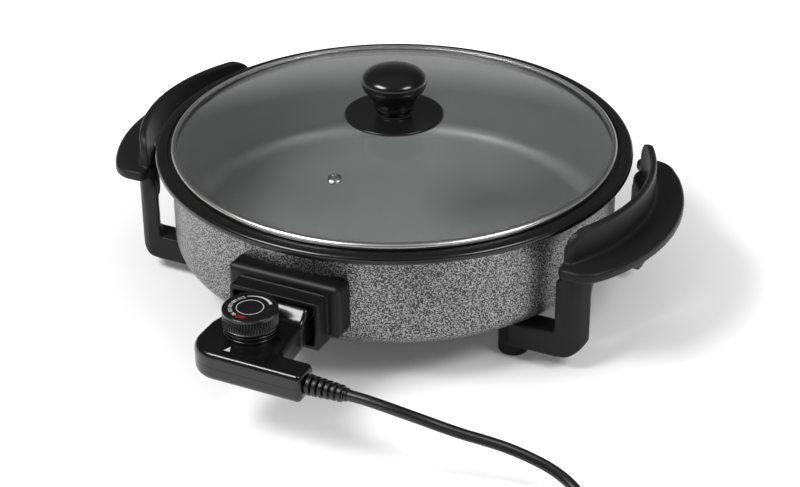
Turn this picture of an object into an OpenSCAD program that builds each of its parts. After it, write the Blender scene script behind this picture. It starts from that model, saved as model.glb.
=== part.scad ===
// Electric pizza pan: a round cast pan on two moulded handles with feet, a glass lid that lifts off,
// and a plug-in thermostat with its mains lead. Millimetres, +Z up, the table at z = 0,
// the pan's axis at x = y = 0, the handles on +X and -X, the socket on -Y.

/* [Pan] */
// Outside diameter of the pan wall
pan_d = 401; // [360:1:420]
// Height of the pan from its underside to the top of the rim
pan_h = 97; // [85:1:120]
// Thickness of the pan wall
pan_wall = 4; // [3:0.5:6]
// Thickness of the pan floor
pan_floor = 6; // [5:0.5:9]
// Outside radius of the bottom corner
pan_fillet = 18; // [12:1:24]
// Outside diameter of the rim
rim_d = 428; // [420:1:450]
// Height of the rim's outer lip
rim_t = 7.5; // [6:0.5:12]
// Rounding of the rim's outer lip
rim_edge = 3.4; // [1:0.1:3.7]
// Depth of the step that the lid sits in
seat_depth = 1.6; // [1:0.1:3]
// Gap round the lid in its step
seat_gap = 3.5; // [1:0.5:5]
// Radius of the cove under the rim
rim_cove = 4; // [1:0.5:6]

/* [Lid] */
// Outside diameter of the lid
lid_d = 400; // [380:1:410]
// Height of the steel band round the glass
band_h = 6; // [5:0.5:9]
// Width of the band's two flanges
band_w = 4.5; // [4:0.5:8]
// Thickness of the band's sheet
band_t = 0.9; // [0.5:0.1:1.2]
// Rise of the glass from its edge to its top
dome_h = 20.5; // [10:0.5:40]
// Width of the glass's flat edge
glass_edge = 8; // [7:0.5:14]
// Distance of the steam vent from the lid's centre
vent_r = 117.5; // [80:0.5:150]
// Outside diameter of the vent's eyelet
vent_d = 14; // [10:0.5:18]
// Diameter of the steam hole
vent_hole = 4.6; // [3:0.1:6]

/* [Lid knob] */
// Diameter of the knob
knob_d = 58.8; // [45:0.1:70]
// Height of the knob from its base plate
knob_h = 44; // [40:0.5:60]
// Height of the knob's crown above its widest place
knob_crown = 12; // [11.5:0.5:18]
// Radius of the knob's edge above its widest place
knob_edge = 10; // [6:0.5:11]
// Radius of the knob's side below its widest place
knob_under = 14.5; // [12:0.5:18]
// Diameter of the knob's neck
neck_d = 38.5; // [30:0.5:42]
// Spread of the neck's foot
neck_flare = 2.5; // [1:0.5:5]
// Diameter of the plate under the knob
plate_d = 89; // [70:1:110]
// Thickness of the plate under the knob
plate_t = 2.6; // [2:0.1:5]
// Diameter of the knob's screw
knob_screw_d = 5; // [4:0.5:6]
// Diameter of the washer under the glass
washer_d = 24; // [16:1:34]
// Thickness of the washer under the glass
washer_t = 1.5; // [1:0.1:3]

/* [Handles] */
// Distance from the pan's axis to the centre of the grip wall's arc
grip_offset = 68; // [62:1:74]
// Inside radius of the grip's upright wall
grip_r = 164; // [160:1:168]
// Thickness of the grip's upright wall
grip_wall = 6.5; // [5:0.5:9]
// Height of the top of the grip's wall above the table
grip_top = 138.5; // [125:0.5:142]
// Length of the grip's wall from end to end
grip_l = 194; // [180:1:200]
// Rounding of the ends of the grip's wall
grip_round = 20; // [6:1:24]
// Distance from the pan's axis to the centre of the ledge's outer arc
ledge_offset = 87; // [80:1:94]
// Radius of the ledge's outer arc
ledge_r = 177; // [172:1:184]
// Thickness of the ledge
ledge_t = 10; // [9:0.5:14]
// Height of the ledge's upper face above the table
ledge_top = 108; // [100:1:114]
// Rounding of the ledge's outer edge
ledge_edge = 4; // [1:0.5:4.5]
// Length of the ledge from end to end
ledge_l = 203; // [202:1:216]
// Rounding of the ledge's outer corners
ledge_round = 24; // [6:1:30]
// Radius of the finger stops under the ledge
stop_r = 6.5; // [5:0.5:8.5]
// Width of each post along the grip
post_w = 27; // [22:0.5:32]
// Thickness of each post
post_t = 12.4; // [12.2:0.2:16]
// Distance of the posts from the middle of the grip
post_y = 87; // [84:0.5:89]
// Width of the arms that run under the pan
arm_w = 24; // [20:0.5:26]
// Height of the arms
arm_h = 24; // [18:0.5:28]
// Gap between the arms and the pan
arm_drop = 2; // [1:0.5:5]
// Radius of the bend from a post to its arm
leg_round = 25; // [15:1:30]
// Rounding of the posts' upright edges
post_edge = 5; // [2:0.5:6]
// Radius of the posts' broad outer corner
post_bend = 18; // [8:1:20]
// Diameter of the feet
foot_d = 27; // [24:0.5:30]
// Height of the feet, which carry the pan's underside
foot_h = 39; // [34:1:50]
// Distance of the feet from the pan's axis along X
foot_x = 152; // [140:1:158]
// Distance of the feet from the pan's axis along Y
foot_y = 79; // [74:1:84]

/* [Handle fasteners] */
// Diameter of the screws that hold the feet
foot_screw_d = 4; // [3:0.5:5]
// Diameter of those screws' heads
foot_head_d = 8; // [7:0.5:10]
// Diameter of the well that those heads sink into
foot_well_d = 11; // [9.5:0.5:14]
// Height of the seat of those heads above the table
foot_seat = 20; // [12:1:26]
// Diameter of the bosses under the pan
boss_d = 12; // [9:0.5:16]
// Length of the bosses under the pan
boss_l = 8; // [5:0.5:12]

/* [Heating element] */
// Diameter of the element's tube
element_d = 6.6; // [5:0.2:8]
// Radius of the element's ring
element_r = 115; // [90:1:140]
// Radius of the bends from the ring to its two tails
element_bend = 14; // [10:1:20]
// Radius of the bends up the socket's pad
tail_bend = 7; // [6:0.5:9]
// Height of the ribs that hold the ring
rib_h = 4; // [2:0.5:6]
// Thickness of the ribs that hold the ring
rib_t = 2.5; // [2:0.5:4]

/* [Socket] */
// Distance of the pad's face from the pan's axis
pad_face = 209; // [207:0.5:214]
// Width of the cast pad behind the socket
pad_w = 76; // [74:1:80]
// Height of the pad above the pan's underside
pad_h = 61; // [58:1:66]
// Thickness of the terminal plate
tplate_t = 1.5; // [1:0.1:2]
// Width of the socket's base
base_w = 104; // [98:1:120]
// Height of the socket's base
base_h = 50; // [47:1:56]
// Height of the bottom of the socket's base above the table
base_z = 58; // [56:1:60]
// Thickness of the front wall of the socket's base
base_t = 4; // [3:0.5:6]
// Rounding of the socket's base
base_round = 6.5; // [2:0.5:8]
// Outside width of the socket's collar
collar_w = 82; // [80:1:88]
// Outside height of the socket's collar
collar_h = 44; // [42:1:48]
// Height of the bottom of the collar above the table
collar_z = 55; // [53:1:56]
// Reach of the collar in front of the base
collar_l = 15.5; // [14:0.5:20]
// Wall of the collar
collar_t = 4; // [3:0.5:4.5]
// Distance between the two power pins
pin_pitch = 44; // [40:1:46]
// Diameter of the power pins
pin_d = 6; // [5:0.2:6.4]
// Length of the power pins
pin_l = 13; // [11:0.5:14]
// Height of the power pins above the table
pin_z = 72; // [71:0.5:74]
// Diameter of the earth pin
earth_d = 4; // [3:0.2:4.4]
// Drop of the earth pin below the power pins
earth_drop = 6; // [5.5:0.1:6.4]
// Diameter of the socket's screws
plate_screw_d = 3; // [2.5:0.5:3.5]

/* [Thermostat] */
// Width of the thermostat's housing
case_w = 76; // [74:1:82]
// Distance of the housing's front from the pan's axis
case_front = 311; // [305:1:325]
// Height of the housing
case_h = 25; // [25:0.5:28]
// Width of the neck that goes into the socket
plug_w = 66; // [64:1:70]
// Depth that the neck goes into the socket
plug_in = 13; // [11:0.5:13.5]
// Distance from the socket to the wide part of the housing
plug_free = 14; // [8:1:20]
// Wall of the housing
case_t = 2.5; // [2:0.1:3]
// Radius of the housing's round corner
case_corner = 25; // [12:1:30]
// Rounding of the housing's edges
case_edge = 3.5; // [2:0.5:4]
// Reach of the cord arm beside the housing
arm_reach = 29; // [15:1:40]
// Width of the cord arm
cord_arm_w = 25; // [23:0.5:30]
// Diameter of the probe
probe_d = 9; // [7:0.5:10]
// Height of the probe above the power pins
probe_rise = 4; // [3:0.5:5]
// Outside diameter of the contact tubes
contact_d = 8.4; // [7.8:0.1:9]

/* [Dial] */
// Diameter of the dial
dial_d = 46; // [40:0.5:50]
// Height of the dial
dial_h = 15; // [10:0.5:18]
// Distance of the dial's axis from the pan's axis
dial_y = 267; // [262:1:272]
// Number of ribs round the dial
dial_ribs = 60; // [30:1:80]
// Depth of the ribs round the dial
dial_rib = 0.8; // [0.4:0.1:1.2]
// Height of the ringed collar under the dial
dial_seat = 7.6; // [5:0.2:10]
// Diameter of the dial's spindle
spindle_d = 8; // [6:0.5:10]

/* [Mains lead] */
// Diameter of the cord
cord_d = 9; // [8:0.5:9]
// Length of the ribbed strain relief
relief_l = 36; // [30:1:50]
// Number of ribs on the strain relief
relief_ribs = 6; // [4:1:8]
// Diameter of the first rib of the strain relief
relief_d = 17.4; // [15:0.2:19]
// Outside radius of the coil at the middle of the cord
coil_r = 58; // [54:1:62]
// Step of the coil from one turn to the next
coil_step = 11; // [10.5:0.5:13]
// Rise from the coil's lower layer to its upper layer
coil_rise = 9.8; // [9.6:0.1:11]
// Turns in each layer of the coil
layer_turns = 1.25; // [1.25:1:3.25]
// Thickness of the tie round the coil
tie_t = 1.6; // [1:0.1:2]
// Width of the tie round the coil
tie_w = 12; // [8:1:20]
// Diameter of the mains plug's body
plug_d = 38; // [36:0.5:40]
// Length of the mains plug's body
plug_l = 34; // [28:1:44]
// Length of the mains plug's tail
plug_tail = 24; // [16:1:30]
// Distance between the plug's two pins
mains_pitch = 19; // [18:0.5:20]
// Diameter of the plug's pins
mains_pin_d = 4.8; // [4:0.1:5]
// Length of the plug's pins
mains_pin_l = 19; // [16:0.5:22]

/* [Fits] */
// Gap of a screw in its hole
screw_gap = 0.1; // [0.05:0.05:0.2]
// Gap between pieces that are pressed or clipped together
part_gap = 0.2; // [0.1:0.05:0.4]
// Gap between pieces that slide past each other
slide_gap = 0.5; // [0.3:0.1:1]
// Gap of a shaft or a pin that runs in its hole
run_gap = 0.06; // [0.02:0.01:0.1]

/* [Hidden] */
$fn = 96;

black = "#1b1b1c";
steel = "#c9c9c6";
big = 1000;

pan_r = pan_d / 2;
pan_in = pan_r - pan_wall;
pan_top = foot_h + pan_h;
rim_r = rim_d / 2;
lid_r = lid_d / 2;
seat_z = pan_top - seat_depth;
seat_r = lid_r + seat_gap;

glass_r = lid_r - band_t - 1.4;
glass_z = seat_z + band_t;
glass_t = band_h - 2 * band_t - part_gap;
glass_in = glass_r - glass_edge;
dome_r = (glass_in * glass_in + dome_h * dome_h) / (2 * dome_h);
dome_z = glass_z + part_gap / 2 + glass_t + dome_h;
dome_c = dome_z - dome_r;
plate_z = dome_z + part_gap;
knob_z = plate_z + plate_t;
knob_bore = 20;

ledge_z = ledge_top - ledge_t;
post_r = grip_r + grip_wall / 2;
post_turn = asin(post_y / post_r);
post_x = grip_offset + post_r * cos(post_turn);
arm_z = foot_h - arm_drop - arm_h;
leg_face = post_y + post_w / 3;
corner_slip = 0.15;

boss_z = foot_h - boss_l;
element_rad = element_d / 2;
tail_x = pin_pitch / 2;
riser_y = pad_face - element_rad - 0.7;
sheath_end = riser_y + tail_bend;
element_z = foot_h - element_rad - part_gap;
slot_w = element_d + 2 * part_gap;
pad_foot = 2 * tail_x + slot_w + 4;
gate_w = 2 * (tail_x + element_bend + 6);
gate_y = element_r + element_bend + 4;
insulator_l = 3;
pin_face = sheath_end + insulator_l;
tplate_face = pad_face + tplate_t;
tplate_w = pad_w + 4;
tplate_z = base_z - 2;
tplate_h = base_h - 8;
probe_z = pin_z + probe_rise;
earth_z = pin_z - earth_drop;
base_face = tplate_face + base_t;
collar_face = base_face + collar_l;
hole_w = collar_w - 2 * collar_t;
hole_h = collar_h - 2 * collar_t;
hole_z = collar_z + collar_t;
lug = 7;
lug_t = 3;
lug_x = hole_w / 2 - lug / 2;
plate_head = plate_screw_d * 2;

plug_tip = collar_face - plug_in;
neck_back = collar_face + plug_free;
case_z = pin_z + 0.5 - case_h / 2;
case_top = case_z + case_h;
case_mid = pin_z + 0.5;
pillar_d = 6;
case_screw_d = 2.4;
screw_sink = 1;
contact_l = 20;
contact_bore = 17;
probe_back = 24;
base_back = neck_back + 4;
blade_w = 10;
blade_t = 1;
blade_zs = [case_mid - 3, case_mid + 1];
arm_x = case_w / 2 + arm_reach;
relief_y = case_front - cord_arm_w / 2;
seat_top = case_top + dial_seat;
dial_z = seat_top + slide_gap;

tie_gap = 0.2;
tie_slack = 1;
coil_z = cord_d / 2 + tie_t + tie_gap;
coil_x = 242;
coil_y = -365;
coil_turn = 360 * layer_turns;
coil_end = 2 * coil_turn + 180;
pin_root = 12;

// Rounded rectangle from corner a to corner b
module soft_rect(a, b, r) {
    translate([a[0] + r, a[1]]) square([b[0] - a[0] - 2 * r, b[1] - a[1]]);
    translate([a[0], a[1] + r]) square([b[0] - a[0], b[1] - a[1] - 2 * r]);
    for (x = [a[0] + r, b[0] - r]) {
        for (y = [a[1] + r, b[1] - r]) translate([x, y]) circle(r);
    }
}

// Half section of a cup with a round bottom corner, from z0 to z1
module cup_section(r, z0, z1, fillet) {
    translate([0, z0]) square([r - fillet, z1 - z0]);
    translate([0, z0 + fillet]) square([r, z1 - z0 - fillet]);
    translate([r - fillet, z0 + fillet]) circle(fillet);
}

// Shapes drawn in XZ and drawn out along -Y from y0 to y1
module out_y(y0, y1) {
    translate([0, -y0, 0]) rotate([90, 0, 0]) linear_extrude(y1 - y0) children();
}

// Round bar along -Y from y0 to y1
module bar_y(d, y0, y1) {
    translate([0, -y0, 0]) rotate([90, 0, 0]) cylinder(d = d, h = y1 - y0);
}

module feet_places() {
    for (x = [-1, 1]) {
        for (y = [-1, 1]) translate([x * foot_x, y * foot_y, 0]) children();
    }
}

// The element's ring, its two tails and their rise to the socket, with a weld bead at each join
module heating_element() {
    r = element_rad;
    bead = r + 0.15;
    out = element_r + element_bend;
    side = tail_x + element_bend;
    turn = acos(side / out);
    bend_y = out * sin(turn);
    color("#5d5a57") {
        translate([0, 0, element_z]) rotate([0, 0, -turn])
            rotate_extrude(angle = 180 + 2 * turn, $fn = 180) translate([element_r, 0]) circle(r);
        for (s = [0, 1]) mirror([s, 0, 0]) {
            translate([side, -bend_y, element_z]) {
                rotate([0, 0, 180 - turn]) rotate_extrude(angle = turn)
                    translate([element_bend, 0]) circle(r);
                for (t = [180 - turn, 180]) rotate([0, 0, t]) translate([element_bend, 0, 0]) sphere(bead);
            }
            translate([tail_x, 0, element_z]) bar_y(2 * r, bend_y, riser_y - tail_bend);
            translate([tail_x, tail_bend - riser_y, element_z + tail_bend])
                rotate([0, 90, 0]) rotate([0, 0, -90]) {
                    rotate_extrude(angle = 90) translate([tail_bend, 0]) circle(r);
                    for (t = [0, 90]) rotate([0, 0, t]) translate([tail_bend, 0, 0]) sphere(bead);
                }
            translate([tail_x, -riser_y, element_z + tail_bend])
                cylinder(r = r, h = pin_z - element_z - 2 * tail_bend);
            translate([tail_x, -sheath_end, pin_z - tail_bend]) rotate([0, 90, 0]) rotate([0, 0, 90]) {
                rotate_extrude(angle = 90) translate([tail_bend, 0]) circle(r);
                translate([tail_bend, 0, 0]) sphere(bead);
            }
        }
    }
}

module rim_section() {
    lip_z = pan_top - rim_t;
    translate([pan_in, lip_z]) square([seat_r - pan_in, seat_z - lip_z]);
    soft_rect([seat_r - 0.01, lip_z], [rim_r, pan_top], rim_edge);
    translate([seat_r - rim_edge, lip_z]) square([3 * rim_edge, rim_t / 2]);
    translate([pan_r, lip_z - rim_cove]) difference() {
        square(rim_cove);
        translate([rim_cove, 0]) circle(rim_cove);
    }
}

module pan_body() {
    color("#77787a") difference() {
        union() {
            rotate_extrude($fn = 180) {
                difference() {
                    cup_section(pan_r, foot_h, seat_z, pan_fillet);
                    cup_section(pan_in, foot_h + pan_floor, pan_top + 1, pan_fillet - pan_wall);
                }
                rim_section();
                for (r = [element_r - slot_w / 2 - rib_t, element_r + slot_w / 2]) {
                    translate([r, foot_h - rib_h]) square([rib_t, rib_h + 1]);
                }
            }
            difference() {
                union() {
                    translate([-pad_w / 2, -pad_face, base_z]) cube([pad_w, 30, foot_h + pad_h - base_z]);
                    translate([-pad_foot / 2, -pad_face, foot_h]) cube([pad_foot, 30, pad_h]);
                }
                rotate_extrude($fn = 180)
                    cup_section(pan_r - 1, foot_h + 1, pan_top + 1, pan_fillet - 1);
            }
            feet_places() translate([0, 0, boss_z]) cylinder(d = boss_d, h = boss_l + 1);
        }
        translate([-gate_w / 2, -gate_y, boss_z - 1]) cube([gate_w, element_bend * 2, boss_l + 1]);
        for (s = [-1, 1]) {
            translate([s * tail_x - slot_w / 2, -pad_face - 1, foot_h - 1])
                cube([slot_w, pad_face + 1 - riser_y + slot_w / 2, pin_z + slot_w / 2 - foot_h + 1]);
            translate([s * tail_x - slot_w / 2, -pad_face - 1, foot_h - 1])
                cube([slot_w, pad_face + 1 - riser_y + tail_bend, tail_bend + 1]);
            for (z = [hole_z + lug / 2, hole_z + hole_h - lug / 2]) {
                translate([s * lug_x, 0, z]) bar_y(plate_screw_d, pad_face - 9, pad_face + 1);
            }
        }
        translate([0, 0, probe_z]) bar_y(probe_d + 2 * slide_gap, pan_r, pad_face + 1);
        feet_places() translate([0, 0, boss_z - 1]) cylinder(d = foot_screw_d, h = boss_l + pan_floor - 2);
    }
}

module terminal_insulators() {
    color("#e6e1d6") for (s = [-1, 1]) {
        translate([s * tail_x, 0, pin_z]) bar_y(element_d + 1.4, sheath_end, pin_face);
    }
}

module terminal_pins() {
    color(steel) for (s = [-1, 1]) {
        translate([s * tail_x, 0, pin_z]) {
            bar_y(pin_d, pin_face, pin_face + pin_l - 1);
            translate([0, -pin_face - pin_l + 1, 0]) rotate([90, 0, 0])
                cylinder(d1 = pin_d, d2 = pin_d - 2, h = 1);
        }
    }
}

// Bright plate behind the socket, slotted from below for the element's tails
module terminal_plate() {
    color(steel) difference() {
        translate([-tplate_w / 2, -tplate_face, tplate_z]) cube([tplate_w, tplate_t, tplate_h]);
        for (s = [-1, 1]) {
            translate([s * tail_x - 4, -tplate_face - 1, tplate_z - 1])
                cube([8, tplate_t + 2, pin_z + 5 - tplate_z]);
            for (z = [hole_z + lug / 2, hole_z + hole_h - lug / 2]) {
                translate([s * lug_x, 0, z])
                    bar_y(plate_screw_d + 2 * screw_gap, pad_face - 1, tplate_face + 1);
            }
        }
        translate([0, 0, probe_z]) bar_y(probe_d + 2 * slide_gap, pad_face - 1, tplate_face + 1);
        translate([0, 0, earth_z]) bar_y(earth_d + 2 * screw_gap, pad_face - 1, tplate_face + 1);
    }
}

module earth_pin() {
    color(steel) translate([0, 0, earth_z]) {
        bar_y(earth_d, pad_face, pin_face + pin_l - 1);
        bar_y(earth_d * 1.5, tplate_face, tplate_face + 1.2);
    }
}

module plate_screws() {
    color(steel) for (s = [-1, 1]) {
        for (z = [hole_z + lug / 2, hole_z + hole_h - lug / 2]) {
            translate([s * lug_x, 0, z]) difference() {
                union() {
                    bar_y(plate_screw_d - 2 * screw_gap, pad_face - 8, tplate_face + lug_t + 1);
                    bar_y(plate_head, tplate_face + lug_t, tplate_face + lug_t + 1.8);
                }
                translate([-plate_head, -tplate_face - lug_t - 3, -0.4]) cube([2 * plate_head, 2, 0.8]);
            }
        }
    }
}

// Moulded socket: a base that hugs the pan, an open collar in front and four lugs for its screws
module socket_shroud() {
    pad_gap = part_gap + 0.1;
    color(black) {
        difference() {
            union() {
                intersection() {
                    out_y(pan_r - 25, base_face)
                        soft_rect([-base_w / 2, base_z], [base_w / 2, base_z + base_h], base_round);
                    linear_extrude(big)
                        soft_rect([-base_w / 2, -base_face], [base_w / 2, 0], base_round);
                    translate([-big / 2, 0, 0]) rotate([90, 0, 90]) linear_extrude(big)
                        soft_rect([-base_face, base_z], [0, base_z + base_h], base_round);
                }
                out_y(base_face - base_round, collar_face)
                    soft_rect([-collar_w / 2, collar_z], [collar_w / 2, collar_z + collar_h], 2);
            }
            cylinder(r = pan_r + part_gap, h = big, $fn = 180);
            translate([-tplate_w / 2 - pad_gap, -tplate_face, 0])
                cube([tplate_w + 2 * pad_gap, 60, foot_h + pad_h + pad_gap]);
            out_y(pad_face, collar_face + 1)
                soft_rect([-hole_w / 2, hole_z], [hole_w / 2, hole_z + hole_h], 1);
        }
        for (s = [-1, 1]) {
            for (z = [hole_z, hole_z + hole_h - lug]) {
                difference() {
                    translate([s * lug_x - lug / 2, -tplate_face - lug_t, z]) cube([lug, lug_t, lug]);
                    translate([s * lug_x, 0, z + lug / 2])
                        bar_y(plate_screw_d + 2 * screw_gap, pad_face, tplate_face + 9);
                }
            }
        }
    }
}

// The grip's upright wall, with a round top and a cove at its foot
module grip_upright() {
    cove = 2.5;
    rotate_extrude(angle = 120, start = -60, $fn = 180) {
        translate([grip_r, ledge_z]) square([grip_wall, grip_top - grip_wall / 2 - ledge_z]);
        translate([post_r, grip_top - grip_wall / 2]) circle(grip_wall / 2);
        translate([grip_r + grip_wall, ledge_top]) difference() {
            square(cove);
            translate([cove, cove]) circle(cove);
        }
    }
}

// The ledge that the fingers go under, with round outer corners and a finger stop near each end
module grip_ledge() {
    half = ledge_l / 2;
    turn = ledge_r - ledge_round;
    out = [sqrt(pow(turn, 2) - pow(half - ledge_round, 2)), half - ledge_round] / turn;
    turn_at = turn * out + corner_slip * [out[0], out[1] + 1];
    in_x = sqrt(pow(grip_r, 2) - pow(half, 2));
    difference() {
        intersection() {
            translate([ledge_offset, 0, 0]) rotate_extrude($fn = 180) intersection() {
                soft_rect([-ledge_r, ledge_z], [ledge_r, ledge_top], ledge_edge);
                square([ledge_r, big]);
            }
            translate([grip_offset, -half, 0]) cube([big, ledge_l, big]);
        }
        for (s = [0, 1]) mirror([0, s, 0]) {
            translate([ledge_offset, 0, 0]) linear_extrude(big) difference() {
                polygon([turn_at, turn_at + [-4, ledge_round + 9], turn_at + 3 * ledge_round * [1, 1],
                    turn_at + (ledge_round + 9) * out + [3, -5]]);
                translate(turn_at) circle(ledge_round, $fn = 96);
            }
            translate([grip_offset, 0, 0]) linear_extrude(big)
                polygon([[in_x - 9, half + 1], [in_x + 7, half + 1],
                    [in_x - 1, half - 9], [in_x - 9, half - 9]]);
        }
        translate([grip_offset, 0, 0]) cylinder(r = grip_r, h = big, $fn = 180);
    }
    translate([ledge_offset, 0, ledge_z + 1]) for (a = [-18, 18]) {
        rotate([0, 0, a]) translate([ledge_r - 20, 0, 0]) rotate([0, 90, 0]) cylinder(r = stop_r, h = 16);
    }
}

// One leg: a post under the grip's end, the bend at its foot and the arm to the foot under the pan
module leg() {
    half_n = post_t / 2;
    out = [cos(post_turn), sin(post_turn)];
    corner_x = post_x + (half_n + (post_y - leg_face) * out[1]) / out[0];
    bend_at = [corner_x - post_bend * tan((90 - post_turn) / 2), leg_face - post_bend]
        + corner_slip * [out[0], out[1] + 1];
    difference() {
        leg_block();
        linear_extrude(big) difference() {
            polygon([bend_at, bend_at + [-4, post_bend + 8], [corner_x + 8, leg_face + 8],
                bend_at + (post_bend + 8) * out + [2, -4]]);
            translate(bend_at) circle(post_bend);
        }
    }
    translate([foot_x, foot_y, 0]) {
        translate([0, 0, 1]) cylinder(d = foot_d, h = foot_h - 1);
        cylinder(d1 = foot_d - 2, d2 = foot_d, h = 1);
    }
}

// The leg's post and arm, flush at the front
module leg_block() {
    half_n = post_t / 2;
    half_w = post_w / 2;
    arm_end = post_x - half_n * cos(post_turn) + half_w * sin(post_turn);
    out_x = arm_end + post_t * cos(post_turn);
    intersection() {
        union() {
            translate([post_x, post_y, arm_z]) rotate([0, 0, post_turn])
                linear_extrude(ledge_top - ledge_edge - arm_z)
                    soft_rect([-half_n, -half_w], [half_n, half_w], post_edge);
            translate([foot_x, leg_face - arm_w, arm_z]) cube([arm_end - foot_x, arm_w, arm_h]);
        }
        translate([0, big / 2, 0]) rotate([90, 0, 0]) linear_extrude(big)
            soft_rect([-big, arm_z], [out_x, big], leg_round);
        translate([0, leg_face - big, 0]) cube(big);
    }
}

// The handle on the +X side
module handle() {
    difference() {
        union() {
            intersection() {
                translate([grip_offset, 0, 0]) grip_upright();
                rotate([90, 0, 90]) linear_extrude(big)
                    soft_rect([-grip_l / 2, 0], [grip_l / 2, grip_top], grip_round);
            }
            grip_ledge();
            for (s = [0, 1]) mirror([0, s, 0]) leg();
        }
        for (s = [-1, 1]) translate([foot_x, s * foot_y, 0]) {
            translate([0, 0, -1]) cylinder(d = foot_well_d, h = foot_seat + 1);
            cylinder(d = foot_screw_d + 2 * screw_gap, h = foot_h);
            translate([0, 0, boss_z - part_gap]) cylinder(d = boss_d + 2 * part_gap, h = boss_l + 1);
        }
    }
}

module left_handle() {
    color(black) mirror([1, 0, 0]) handle();
}

module right_handle() {
    color(black) handle();
}

module handle_screws() {
    color(steel) feet_places() difference() {
        union() {
            translate([0, 0, foot_seat - 3]) cylinder(d = foot_head_d, h = 3);
            translate([0, 0, foot_seat - 1])
                cylinder(d = foot_screw_d - 2 * screw_gap, h = foot_h + pan_floor - 4 - foot_seat);
        }
        for (a = [0, 90]) rotate([0, 0, a])
            translate([-2.4, -0.5, foot_seat - 4]) cube([4.8, 1, 2.6]);
    }
}

module at_vent() {
    tilt = asin(vent_r / dome_r);
    translate([0, 0, dome_c]) rotate([tilt, 0, 0]) translate([0, 0, dome_r]) children();
}

module lid_glass() {
    color("#dfe8e8", 0.35) difference() {
        rotate_extrude($fn = 180) {
            translate([glass_in, glass_z + part_gap / 2]) square([glass_edge, glass_t]);
            intersection() {
                translate([0, dome_c]) difference() {
                    circle(dome_r, $fn = 720);
                    circle(dome_r - glass_t, $fn = 720);
                }
                translate([0, glass_z + part_gap / 2]) square([glass_in + 0.5, dome_h + glass_t + 1]);
            }
        }
        translate([0, 0, dome_z - 20]) cylinder(d = knob_screw_d + 3, h = 40);
        at_vent() translate([0, 0, -20]) cylinder(d = vent_hole + 4, h = 40);
    }
}

// Rolled steel band: a round back with two flanges over the edge of the glass
module lid_band() {
    color(steel) rotate_extrude($fn = 180) difference() {
        union() {
            translate([lid_r - band_w, seat_z]) square([band_w - band_h / 2, band_h]);
            intersection() {
                translate([lid_r - band_h / 2, seat_z + band_h / 2]) circle(band_h / 2);
                translate([lid_r - band_h / 2 - 1, seat_z]) square([band_h, band_h]);
            }
        }
        translate([lid_r - band_w - 1, glass_z]) square([glass_r + part_gap / 2 - lid_r + band_w + 1,
            band_h - 2 * band_t]);
    }
}

module vent_eyelet() {
    lip = 0.05;
    color(steel) at_vent() difference() {
        union() {
            translate([0, 0, lip]) cylinder(d1 = vent_d, d2 = vent_d - 2.4, h = 1.2);
            translate([0, 0, -glass_t - 1]) cylinder(d = vent_hole + 4 - 2 * part_gap, h = glass_t + 2);
            translate([0, 0, -glass_t - lip - 1]) cylinder(d = vent_d - 3, h = 1);
        }
        translate([0, 0, -20]) cylinder(d = vent_hole, h = 40);
    }
}

// Plate between the knob and the glass, with a thin turned edge
module knob_plate() {
    color(black) rotate_extrude() difference() {
        union() {
            translate([0, plate_z]) square([plate_d / 2 - 1, plate_t]);
            translate([plate_d / 2 - plate_t / 2, plate_z + plate_t / 2]) circle(plate_t / 2);
        }
        translate([0, plate_z - 1]) square([knob_screw_d / 2 + screw_gap, plate_t + 2]);
        translate([neck_d / 2 + neck_flare, plate_z - 1])
            square([plate_d / 2 - plate_t - neck_d / 2 - neck_flare, 1.6]);
    }
}

// Turned knob: a neck that swells into a wide head with a round edge and a flatter top
module lid_knob() {
    knob_r = knob_d / 2;
    edge_x = knob_r - knob_edge;
    edge_z = knob_z + knob_h - knob_crown;
    top_r = (edge_x * edge_x + knob_crown * knob_crown - knob_edge * knob_edge)
        / (2 * (knob_crown - knob_edge));
    top_x = edge_x * top_r / (top_r - knob_edge);
    color(black) difference() {
        rotate_extrude() {
            translate([0, knob_z]) square([neck_d / 2, edge_z - knob_z]);
            translate([neck_d / 2, knob_z]) difference() {
                square([neck_flare, neck_flare + 1]);
                translate([neck_flare, neck_flare + 1]) circle(neck_flare);
            }
            intersection() {
                translate([knob_r - knob_under, edge_z]) circle(knob_under);
                translate([0, edge_z - knob_under]) square([knob_r, knob_under]);
            }
            intersection() {
                translate([edge_x, edge_z]) circle(knob_edge);
                translate([edge_x, edge_z]) square(knob_edge);
            }
            intersection() {
                translate([0, knob_z + knob_h - top_r]) circle(top_r, $fn = 360);
                translate([0, edge_z]) square([top_x, knob_crown + 1]);
            }
        }
        translate([0, 0, knob_z - 1]) cylinder(d = knob_screw_d, h = knob_bore + 1);
    }
}

module knob_screw() {
    head_z = dome_z - glass_t - washer_t - 0.2;
    color(steel) difference() {
        union() {
            translate([0, 0, head_z - 3]) cylinder(d = knob_screw_d * 2, h = 3);
            translate([0, 0, head_z - 1])
                cylinder(d = knob_screw_d - 2 * screw_gap, h = knob_z + knob_bore - 2 - head_z);
        }
        translate([-knob_screw_d, -0.6, head_z - 4]) cube([2 * knob_screw_d, 1.2, 2.2]);
    }
}

module knob_washer() {
    color("#d8d5cf") translate([0, 0, dome_z - glass_t - washer_t - 0.2]) difference() {
        cylinder(d = washer_d, h = washer_t);
        translate([0, 0, -1]) cylinder(d = knob_screw_d + 2 * screw_gap, h = washer_t + 2);
    }
}

// Pill of radius r with rounded edges, for the corners of the thermostat's housing
module case_corner_at(x, y, r) {
    translate([x, y, 0]) rotate_extrude($fn = 32) intersection() {
        soft_rect([-r, case_z], [r, case_top], case_edge);
        translate([0, case_z]) square([r, case_h]);
    }
}

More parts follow.
